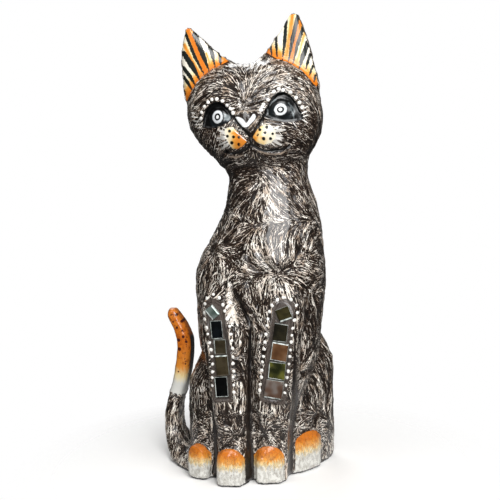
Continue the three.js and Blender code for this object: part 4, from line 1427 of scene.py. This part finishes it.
# %% Lay the areas over the fur
EDGE_BLUR = 0.12
layers = [
    # distance inside the area, its paint, and how uneven its edge is
    (area["ear"], ear_colour, 0.5),
    (area["ear_rim"], "#3a2414", 0.5),
    (tail_front, tail_colour, 0.6),
    (area["paw"], paw_colour, 0.9),
    # painted shade on the paws' sideways sides, over a dark foot line that is partly paint and partly shade
    (area["foot_line"], "#15100d", 1.2),
    (area["mirror_field"], field_colour, 0.6),
    (fan, "#cfccc6", 0.6),
    (area["patch"], fade["patch_fade"], 1.4),
    (area["nose_shade"], "#241b16", 1.6),
    (area["nose_white"], "#d9dbdc", 0.5),
    (area["light_line"], "#8f8071", 0.7),
    (area["dark_line"], "#0d0a08", 0.3),
    (area["eye"], "#050505", 0.15),
]
for distance, paint, rough_edge in layers:
    edge = add(tree, "Math", {0: noise["uneven"], 1: rough_edge, 2: distance}, operation="MULTIPLY_ADD")
    middle = rough_edge / 2
    colour = laid_over(tree, colour, paint, edge, middle - EDGE_BLUR, middle + EDGE_BLUR)

# %% [markdown]
# ## Eyes and spots
#
# These are smaller than the mesh, so they are drawn from the coordinates themselves. A mapping
# node takes each point to a frame in which an eye's ring is the unit circle; for a spot, the
# distance to its middle is enough.

# %% Rings of the eyes
head_place = {0: in_mm, "Location": tuple(HEAD_MIDDLE), "Rotation": (0, -HEAD["tilt"], HEAD["turn"])}
in_head = add(tree, "Mapping", head_place, vector_type="TEXTURE")
EYE_RINGS = {
    # middle, half width and half height of the white ring, and its slant
    -1: (-21.4, 0.8, 3.6, 4.3, 18 * DEGREE),
    1: (20.5, 0.7, 4.2, 3.8, -8 * DEGREE),
}
BALL_STOPS = [(0.3, "#080a0b"), (0.78, "#151b1e"), (0.93, "#040505")]
RING_STOPS = [(0.0, "#dfe0e0"), (0.27, "#080808"), (0.56, "#cdd0d2"), (0.95, "#b0b4b6")]
ALL_DEPTHS = 1e6
EYE_SMEAR = 0.16
for side, (ring_x, ring_z, wide, tall, slant) in EYE_RINGS.items():
    ball_x, ball_z, ball_radius = EYE_BALL[side]
    circles = [
        # middle, slant, half width and half height, colours outwards, where it ends and how blended
        ((ball_x, 0, ball_z - 0.6), 0, (ball_radius, ball_radius - 0.8), BALL_STOPS, 0.97, 0.9, "LINEAR"),
        ((ring_x, 0, ring_z), slant, (wide, tall), RING_STOPS, 1.03, 0.97, "CONSTANT"),
    ]
    for middle, slanted, (half, high), stops, outer, inner_edge, blend in circles:
        to_circle = {"Location": middle, "Rotation": (0, slanted, 0), "Scale": (half, ALL_DEPTHS, high)}
        circle_place = add(tree, "Mapping", {0: in_head, **to_circle}, vector_type="TEXTURE")
        reach = add(tree, "VectorMath", {0: circle_place}, output="Value", operation="LENGTH")
        smear = add(tree, "Math", {0: noise["uneven"], 1: EYE_SMEAR, 2: reach}, operation="MULTIPLY_ADD")
        smear = add(tree, "Math", {0: smear, 1: EYE_SMEAR / 2}, operation="SUBTRACT")
        ring_colour = add(tree, "ValToRGB", {0: smear}, stops)
        ring_colour.node.color_ramp.interpolation = blend
        colour = laid_over(tree, colour, ring_colour, smear, outer, inner_edge, where=mask["socket"])
# Painted highlight: light grey glints on the balls of the eyes.
colour = laid_over(tree, colour, "#9aa3a6", brushed["glint"], 0.6, 1.3, 0.6)

# %% Spots on the whisker patches and the tail
WHISKER_SPOTS = [
    # x and z in the head's frame, radius
    (-14.3, -9.3, 0.95), (-16.3, -12.4, 0.9), (-12, -13.3, 0.95), (-8.5, -14, 0.85), (-13.9, -17.1, 1.1),
    (-9.2, -18.7, 1.15), (10.5, -9.7, 1), (5.7, -10.6, 0.9), (9, -13.1, 0.95), (13.7, -14.3, 0.7),
    (3.8, -13.7, 0.9), (7.6, -16.7, 1.1), (12, -17.3, 0.9),
]
TAIL_SPOTS = [
    # x and z in the cat's frame, radius
    (-62.6, 108, 1), (-58.8, 103.2, 1), (-62.4, 98.5, 0.9), (-58.4, 96.4, 0.6), (-57.9, 91.8, 1),
    (-61.6, 89.2, 1.3), (-55.8, 88.1, 0.9), (-61.2, 82.4, 1.3), (-65.2, 102.8, 0.6), (-62.3, 65.6, 0.5),
    (-56.9, 71.5, 0.5), (-66.5, 108, 0.5),
]
SPOT_RAGGED = 0.8
on_tail = add(tree, "MapRange", {"Value": tail_front, 1: -0.2, 2: 0.2})
spotted = [(mask["whiskers"], in_head, WHISKER_SPOTS, "#0f0c0a"), (on_tail, in_mm, TAIL_SPOTS, "#4d1f12")]
for allowed, spot_frame, spots, paint in spotted:
    flat = add(tree, "VectorMath", {0: spot_frame, 1: (1, 0, 1)}, operation="MULTIPLY")
    nearest = None
    for spot_x, spot_z, radius in spots:
        apart = {0: flat, 1: (spot_x, 0, spot_z)}
        away = add(tree, "VectorMath", apart, output="Value", operation="DISTANCE")
        outside = add(tree, "Math", {0: away, 1: radius}, operation="SUBTRACT")
        if nearest is not None:
            outside = add(tree, "Math", {0: nearest, 1: outside}, operation="MINIMUM")
        nearest = outside
    nearest = {0: noise["uneven"], 1: SPOT_RAGGED, 2: nearest}
    nearest = add(tree, "Math", nearest, operation="MULTIPLY_ADD")
    colour = laid_over(tree, colour, paint, nearest, 0.66, 0.34, where=allowed)

# %% Surface of the paint
height = stroke
for thickness, amount in ((noise["bristle"], 0.3), (noise["worn"], 0.5), (undertone, 0.5)):
    height = add(tree, "Math", {0: thickness, 1: amount, 2: height}, operation="MULTIPLY_ADD")
gloss = add(tree, "MapRange", {"Value": noise["uneven"], 1: 0.3, 2: 0.7, 3: 0.32, 4: 0.5})
paint_shader = add(tree, "BsdfPrincipled", {
    "Base Color": colour,
    "Roughness": gloss,
    "IOR": 1.5,
    "Specular IOR Level": 0.12,
    "Coat Weight": 0.75,
    "Coat Roughness": 0.14,
    "Coat IOR": 1.5,
    "Normal": add(tree, "Bump", {"Strength": 0.55, "Distance": 0.2 * MM, "Height": height}),
    "Coat Normal": add(tree, "Bump", {"Strength": 0.3, "Distance": 0.12 * MM, "Height": height}),
})
add(tree, "OutputMaterial", {"Surface": paint_shader})
skin_mesh.materials.append(cat_paint)
print("paint nodes:", len(tree.nodes), "links:", len(tree.links))

# %% [markdown]
# ## Drops of white paint
#
# The dots round the eyes and the mirrors are drops of thick paint, set down with a stick: low
# domes that catch the light, none quite round and none quite in line. Each is a small cap of
# rings. Every vertex is dropped onto the skin along the line of sight of its frame and then
# raised along the skin's normal, so a drop follows the form that it sits on.

# %% Places of the drops
EYE_DOTS = [
    # x and z in the head's frame
    (-33.2, 1.1), (-32.3, 5), (-29.8, 8.6), (-26.8, 11.1), (-24, 12.6), (-20.6, 12.5), (-16.7, 10.7),
    (-14.1, 7.5), (-12.1, 5.2), (-10.7, 2.2), (7.9, 2), (8.9, 3.8), (9.9, 5.3), (13.2, 7.8), (17.5, 12.7),
    (20.8, 13.9), (23.4, 13), (28, 10.9), (31.3, 7.2), (33.1, 3.7), (34.5, 0.3),
]
RAISED_STROKES = [
    # in the head's frame: from, to, half width
    ((-40.3, 2.9), (-35.7, 2), 0.4), ((-39.6, 0.1), (-34.8, -0.7), 0.45),
    ((-38.5, -2.8), (-34.5, -2.6), 0.4),
    ((-37, -5.2), (-33.5, -4.4), 0.4), ((-40.6, 5.6), (-37.4, 5), 0.35), ((33.6, -3.6), (37.2, -2.5), 0.5),
    ((34.4, -5.7), (37.5, -5.2), 0.45), ((35, -0.6), (38.2, 0.6), 0.35), ((18.6, 18.8), (23.4, 16.6), 0.3),
    ((23.4, 16.6), (28, 13.2), 0.35), ((27.6, -8.9), (29.6, -12.4), 0.35), ((33.6, -7.6), (37, -10.4), 0.35),
    ((-11.1, -9.3), (-8, -12.6), 0.28), ((-7.6, -13), (-3.9, -17), 0.28),
]
FIELD_PATHS = [
    # round the left and the right mirror field, x and z in the cat's frame
    [
        (6.9, 65), (8.2, 79), (10, 93.5), (11.4, 105), (14.5, 121.6), (16.6, 127.6), (22.3, 131.2),
        (28.5, 130.4), (32.6, 123.6), (30.4, 112.4), (28.4, 97.5), (25.8, 79.5), (23.2, 64.5),
    ],
    [
        (-25.6, 67.8), (-25.5, 83.1), (-26.2, 94.8), (-28.8, 109.3), (-31.2, 120.5), (-29.6, 128.8),
        (-24.9, 132.5), (-19.4, 130.2), (-16.2, 122.6), (-12.9, 112.5), (-11, 98), (-10.6, 84.9),
        (-10.9, 63.7),
    ],
]
DOT_SPACING = 5.0
EYE_DOT = 1.2
DROP_HEIGHT = {"eye": 0.42, "stroke": 0.22, "field": 0.3}
DROP_RINGS = [(1, -0.12), (0.9, 0.42), (0.62, 0.82), (0.3, 0.98)]
DROP_COLUMNS = 12
DROP_ANGLES = np.linspace(0, FULL_TURN, DROP_COLUMNS, endpoint=False)
IN_FRONT = -90.0

# %% Caps set down on the skin
skin_tree = BVHTree.FromPolygons(points.tolist(), [tuple(face.vertices) for face in skin_mesh.polygons])


def landed(origins, direction):
    """Where rays from the origins along the direction meet the skin, and the skin's normals there."""
    missed = (Vector((0, 0, 0)), Vector((0, 0, 0)))
    found = [skin_tree.ray_cast(Vector(origin), Vector(direction)) for origin in origins]
    hits = [hit[:2] if hit[0] else missed for hit in found]
    return np.array([hit[0] for hit in hits]), np.array([hit[1] for hit in hits])


def drop(middle, half_long, half_wide, turn, height, matrix, start, bulges):
    """A cap: rings at shares of an oval outline of reach 1 + bulges, raised by shares of the height."""
    outline = np.stack([np.cos(DROP_ANGLES) * half_long, np.sin(DROP_ANGLES) * half_wide], axis=1)
    outline = turned_flat(outline * (1 + bulges)[:, None], turn)
    flat = np.vstack([outline * share for share, _ in DROP_RINGS] + [[(0, 0)]]) + middle
    lift = np.concatenate([np.full(DROP_COLUMNS, rise * height) for _, rise in DROP_RINGS] + [[height]])
    from_there = np.column_stack([flat[:, 0], np.full(len(flat), IN_FRONT), flat[:, 1]]) @ matrix.T + start
    seat, seat_normals = landed(from_there, matrix[:, 1])
    place = seat + unit(seat_normals.mean(axis=0)) * lift[:, None]
    first = np.arange(DROP_COLUMNS)
    steps = len(DROP_RINGS) - 1
    last = steps * DROP_COLUMNS
    tip = np.full(DROP_COLUMNS, len(flat) - 1)
    fan = np.stack([last + first, last + (first + 1) % DROP_COLUMNS, tip], axis=1)
    return place, bands(steps, DROP_COLUMNS) + fan.tolist() + [first[::-1].tolist()]


hand = np.random.default_rng(7)


def wobble(amount):
    """Uneven outline of a drop: two or three soft bulges round it."""
    two = np.cos(2 * DROP_ANGLES + hand.uniform(0, 6))
    return amount * (two + 0.6 * np.cos(3 * DROP_ANGLES + hand.uniform(0, 6)))


# %% All the drops
drops = []
head_frame = (HEAD_MATRIX, HEAD_MIDDLE)
cat_frame = (np.eye(3), np.zeros(3))
for middle in EYE_DOTS:
    size = EYE_DOT * hand.uniform(0.95, 1.18)
    drops.append(drop(middle, size, size, 0, DROP_HEIGHT["eye"], *head_frame, wobble(0.05)))
for start, end, half_wide in RAISED_STROKES:
    run = np.subtract(end, start)
    half_long = np.hypot(*run) / 2 + half_wide
    turn = math.atan2(run[1], run[0])
    middle = np.add(start, end) / 2
    drops.append(drop(middle, half_long, half_wide, turn, DROP_HEIGHT["stroke"], *head_frame, wobble(0.08)))
for path in FIELD_PATHS:
    line = curve_at(path, np.linspace(0, 1, 400))
    run = np.concatenate([[0], np.cumsum(np.hypot(*np.diff(line, axis=0).T))])
    count = round(run[-1] / DOT_SPACING)
    for at in (np.arange(count) + 0.5) * run[-1] / count + hand.uniform(-0.5, 0.5, count):
        middle = [np.interp(at, run, line[:, k]) + hand.uniform(-0.35, 0.35) for k in (0, 1)]
        size = hand.uniform(0.95, 1.25)
        long, turn = size * hand.uniform(1, 1.2), hand.uniform(0, 3)
        drops.append(drop(middle, long, size, turn, DROP_HEIGHT["field"], *cat_frame, wobble(0.06)))
drop_points, drop_faces = joined(drops)
paint_drops = mesh_object("paint_drops", drop_points, drop_faces)
paint_drops.data.polygons.foreach_set("use_smooth", np.ones(len(drop_faces), bool))
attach(paint_drops, "root")
print("drops:", len(drops), "faces:", len(drop_faces))

# %% White paint
white_paint, tree, in_mm = fresh_material("white_paint_drops")
dirt = add(tree, "TexNoise", {"Vector": in_mm, "Scale": 0.6, "Detail": 3.0})
white_shader = add(tree, "BsdfPrincipled", {
    "Base Color": add(tree, "ValToRGB", {0: dirt}, [(0.25, "#cfc8bb"), (0.5, "#f3f1ec")]),
    "Roughness": 0.35,
    "Coat Weight": 0.5,
    "Coat Roughness": 0.12,
    "Normal": add(tree, "Bump", {"Strength": 0.2, "Distance": 0.1 * MM, "Height": dirt}),
})
add(tree, "OutputMaterial", {"Surface": white_shader})
paint_drops.data.materials.append(white_paint)

# %% [markdown]
# ## Cut mirror
#
# The tiles are offcuts of thin mirror glass, snapped to size and ground at the edges. The dark room
# that each reflects is painted into its colour, in clouds of three tints under a metallic gloss, and
# the pale ground edges are set on the sides that catch the light, where they stand in for a painted
# highlight. Each is an outline of straight edges with slightly wrong corners, stepped in and
# forward by a bevel that is half a millimetre wide, and wider on three of them.

# %% Tiles
TILE_LOOKS = {
    # from the bottom: darkest, middle and palest colour of the painted reflection, and the sides where
    # the pale ground edge shows, as a painted highlight
    "right": [
        ("#050505", "#0a0b0c", "#10110f", (0, 3)), ("#3a3222", "#4e4430", "#5a503c", (2,)),
        ("#332d20", "#443c2b", "#524a38", (3,)), ("#060708", "#0a0c0f", "#161b20", (0, 3)),
        ("#4a5852", "#6f7f77", "#8d9a94", (3,)),
    ],
    "left": [
        ("#62493a", "#7f6556", "#9a8e86", (0,)), ("#2f341a", "#50522a", "#84843c", (0, 3)),
        ("#6d4a30", "#8a6242", "#99765a", (0, 2, 3)), ("#12110c", "#26241a", "#3a3626", (0,)),
        ("#0b0b08", "#2a2616", "#4a4426", (0,)),
    ],
}
BEVEL = 0.5
BEVEL_DEPTH = 0.32
WIDE_BEVELS = {("left", 5): 0.95, ("right", 5): 0.8, ("left", 1): 0.8}
CORNERS = np.array([(-0.5, -0.5), (0.5, -0.5), (0.5, 0.5), (-0.5, 0.5)])
glass = {}
for side in PANELS:
    origin, axes = panel_frame(side)
    for number, (shift, middle, width, length, turn) in enumerate(tile_places(side)[0], 1):
        corners = CORNERS * (width, length) + hand.uniform(-0.22, 0.1, (4, 2)) * np.sign(CORNERS)
        bevel = WIDE_BEVELS.get((side, number), BEVEL)
        levels = (
            (0, TILE["proud"] - TILE["thickness"]), (0, TILE["proud"] - BEVEL_DEPTH), (bevel, TILE["proud"]),
        )
        rings = []
        for inset, height in levels:
            flat = turned_flat(corners - np.sign(CORNERS) * inset, turn) + (shift, middle)
            rings.append(np.column_stack([flat, np.full(4, height)]))
        faces = [[3, 2, 1, 0], [8, 9, 10, 11]] + bands(2, 4)
        tile = mesh_object(f"mirror_{side}_{number}", np.vstack(rings) @ axes.T + origin, faces)
        *reflection_colours, pale_sides = TILE_LOOKS[side][number - 1]
        # The pale ground edge goes on the sides listed, where it stands in for a painted highlight.
        edge_paint = [int(edge in pale_sides) for edge in range(4)]
        tile.data.polygons.foreach_set("material_index", np.array([1, 0] + [1] * 4 + edge_paint, np.int32))
        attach(tile, "root")
        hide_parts(f"mirror_tile_{side}_{number}")
        glass[tile] = reflection_colours
print("tiles:", len(glass))

# %% Ground edges
cut_edge, tree, in_mm = fresh_material("ground_glass_edge")
chip = add(tree, "TexNoise", {"Vector": in_mm, "Scale": 0.45, "Detail": 3.0})
# Pale ground glass: partly the edge's own colour, partly a painted highlight where it catches the light.
edge_shader = add(tree, "BsdfPrincipled", {
    "Base Color": add(tree, "ValToRGB", {0: chip}, [(0.36, "#6f7873"), (0.56, "#dfe6e2")]),
    "Roughness": 0.3,
    "Normal": add(tree, "Bump", {"Strength": 0.3, "Distance": 0.1 * MM, "Height": chip}),
})
add(tree, "OutputMaterial", {"Surface": edge_shader})

# %% Mirror with painted reflections
for tile, reflection_colours in glass.items():
    mirror, tree, in_mm = fresh_material(f"painted_reflection_{tile.name}")
    # The base colour is a painted reflection of a dark room, in clouds of three colours.
    cloud = add(tree, "TexNoise", {"Vector": in_mm, "Scale": 0.13, "Detail": 1.0})
    mirror_shader = add(tree, "BsdfPrincipled", {
        "Base Color": add(tree, "ValToRGB", {0: cloud}, list(zip((0.36, 0.5, 0.64), reflection_colours))),
        "Metallic": 0.6,
        "Roughness": 0.12,
        "Coat Weight": 0.5,
        "Coat Roughness": 0.03,
    })
    add(tree, "OutputMaterial", {"Surface": mirror_shader})
    tile.data.materials.append(mirror)
    tile.data.materials.append(cut_edge)

# %% [markdown]
# ## Floor, light and camera
#
# A pale floor fades out round the cat, so that it stands on white with only a soft shadow. The
# gloss on the chest needs one broad softbox in front of it, and the glare on the forehead a
# second one above. Four more lamps lift the forelegs, the flanks and the back. The white
# surroundings are seen by the camera but give hardly any light, so the paint keeps its depth.

# %% Floor
FLOOR_HALF = 2500
FLOOR_DROP = 0.15
FLOOR_FADE = (65, 180)
floor_x, floor_y = np.meshgrid([-FLOOR_HALF, FLOOR_HALF], [-FLOOR_HALF, FLOOR_HALF])
floor_points = np.column_stack([floor_x.ravel(), floor_y.ravel(), np.full(4, -FLOOR_DROP)])
floor = mesh_object("floor", floor_points, [[0, 1, 3, 2]])
paper, tree, in_mm = fresh_material("white_paper")
fibre = add(tree, "TexNoise", {"Vector": in_mm, "Scale": 0.9, "Detail": 2.0})
away = add(tree, "VectorMath", {0: in_mm}, output="Value", operation="LENGTH")
gone = add(tree, "MapRange", {"Value": away, 1: FLOOR_FADE[0], 2: FLOOR_FADE[1]})
paper_shader = add(tree, "BsdfPrincipled", {
    "Base Color": "#f6f5f3",
    "Roughness": 0.9,
    "Normal": add(tree, "Bump", {"Strength": 0.1, "Distance": 0.1 * MM, "Height": fibre}),
    "Specular IOR Level": 0.1,
})
open_air = add(tree, "BsdfTransparent")
faded = add(tree, "MixShader", {0: gone, 1: paper_shader, 2: open_air})
add(tree, "OutputMaterial", {"Surface": faded})
floor.data.materials.append(paper)

# %% Light
scene = bpy.context.scene
world = bpy.data.worlds.new("bright_studio")
scene.world = world
world.use_nodes = True
world.node_tree.nodes.clear()
seen = add(world.node_tree, "LightPath", output="Is Camera Ray")
level = add(world.node_tree, "MapRange", {"Value": seen, 3: 0.05, 4: 1.0})
surround = add(world.node_tree, "Background", {0: "#ffffff", 1: level})
add(world.node_tree, "OutputWorld", {0: surround})
LAMPS = {
    # direction from the cat, distance, side of the square and watts
    "key_softbox": ((0.27, -0.86, 0.43), 0.95, 0.42, 5.0),
    "front_fill": ((0.044, -0.998, -0.051), 1.13, 0.24, 2.8),
    "top_right": ((0.38, -0.6, 0.75), 0.9, 0.5, 7.0),
    "top_left": ((-0.5, -0.4, 0.78), 1.0, 0.5, 1.6),
    "side_right": ((0.9, -0.4, 0.3), 1.0, 0.3, 1.8),
    "back_fill": ((-0.35, 0.75, 0.62), 1.2, 0.6, 5),
}
LAMP_TARGET = Vector((0, 0, 0.17))
for name, (direction, distance, size, watts) in LAMPS.items():
    light = bpy.data.lights.new(name, "AREA")
    light.size = size
    light.energy = watts
    lamp = bpy.data.objects.new(name, light)
    aim = Vector(direction).normalized()
    lamp.location = LAMP_TARGET + aim * distance
    lamp.rotation_euler = aim.to_track_quat("Z", "Y").to_euler()
    scene.collection.objects.link(lamp)
scene.view_settings.view_transform = "Standard"

# %% Camera
CAMERA_AT = Vector((0.130236, -0.738606, 0.270))
CAMERA_TARGET = Vector((-0.0054066, 0, 0.1574818))
CAMERA_ROLL = -1.2 * DEGREE
ahead = (CAMERA_TARGET - CAMERA_AT).normalized()
right = ahead.cross(Vector((0, 0, 1))).normalized()
up = right.cross(ahead)
turned_right = right * math.cos(CAMERA_ROLL) + up * math.sin(CAMERA_ROLL)
turned_up = up * math.cos(CAMERA_ROLL) - right * math.sin(CAMERA_ROLL)
camera_axes = Matrix((turned_right, turned_up, -ahead)).transposed()
camera = bpy.data.objects.new("camera", bpy.data.cameras.new("camera"))
scene.collection.objects.link(camera)
camera.matrix_world = Matrix.Translation(CAMERA_AT) @ camera_axes.to_4x4()
camera.data.lens = 77.79
camera.data.sensor_width = 36
scene.camera = camera
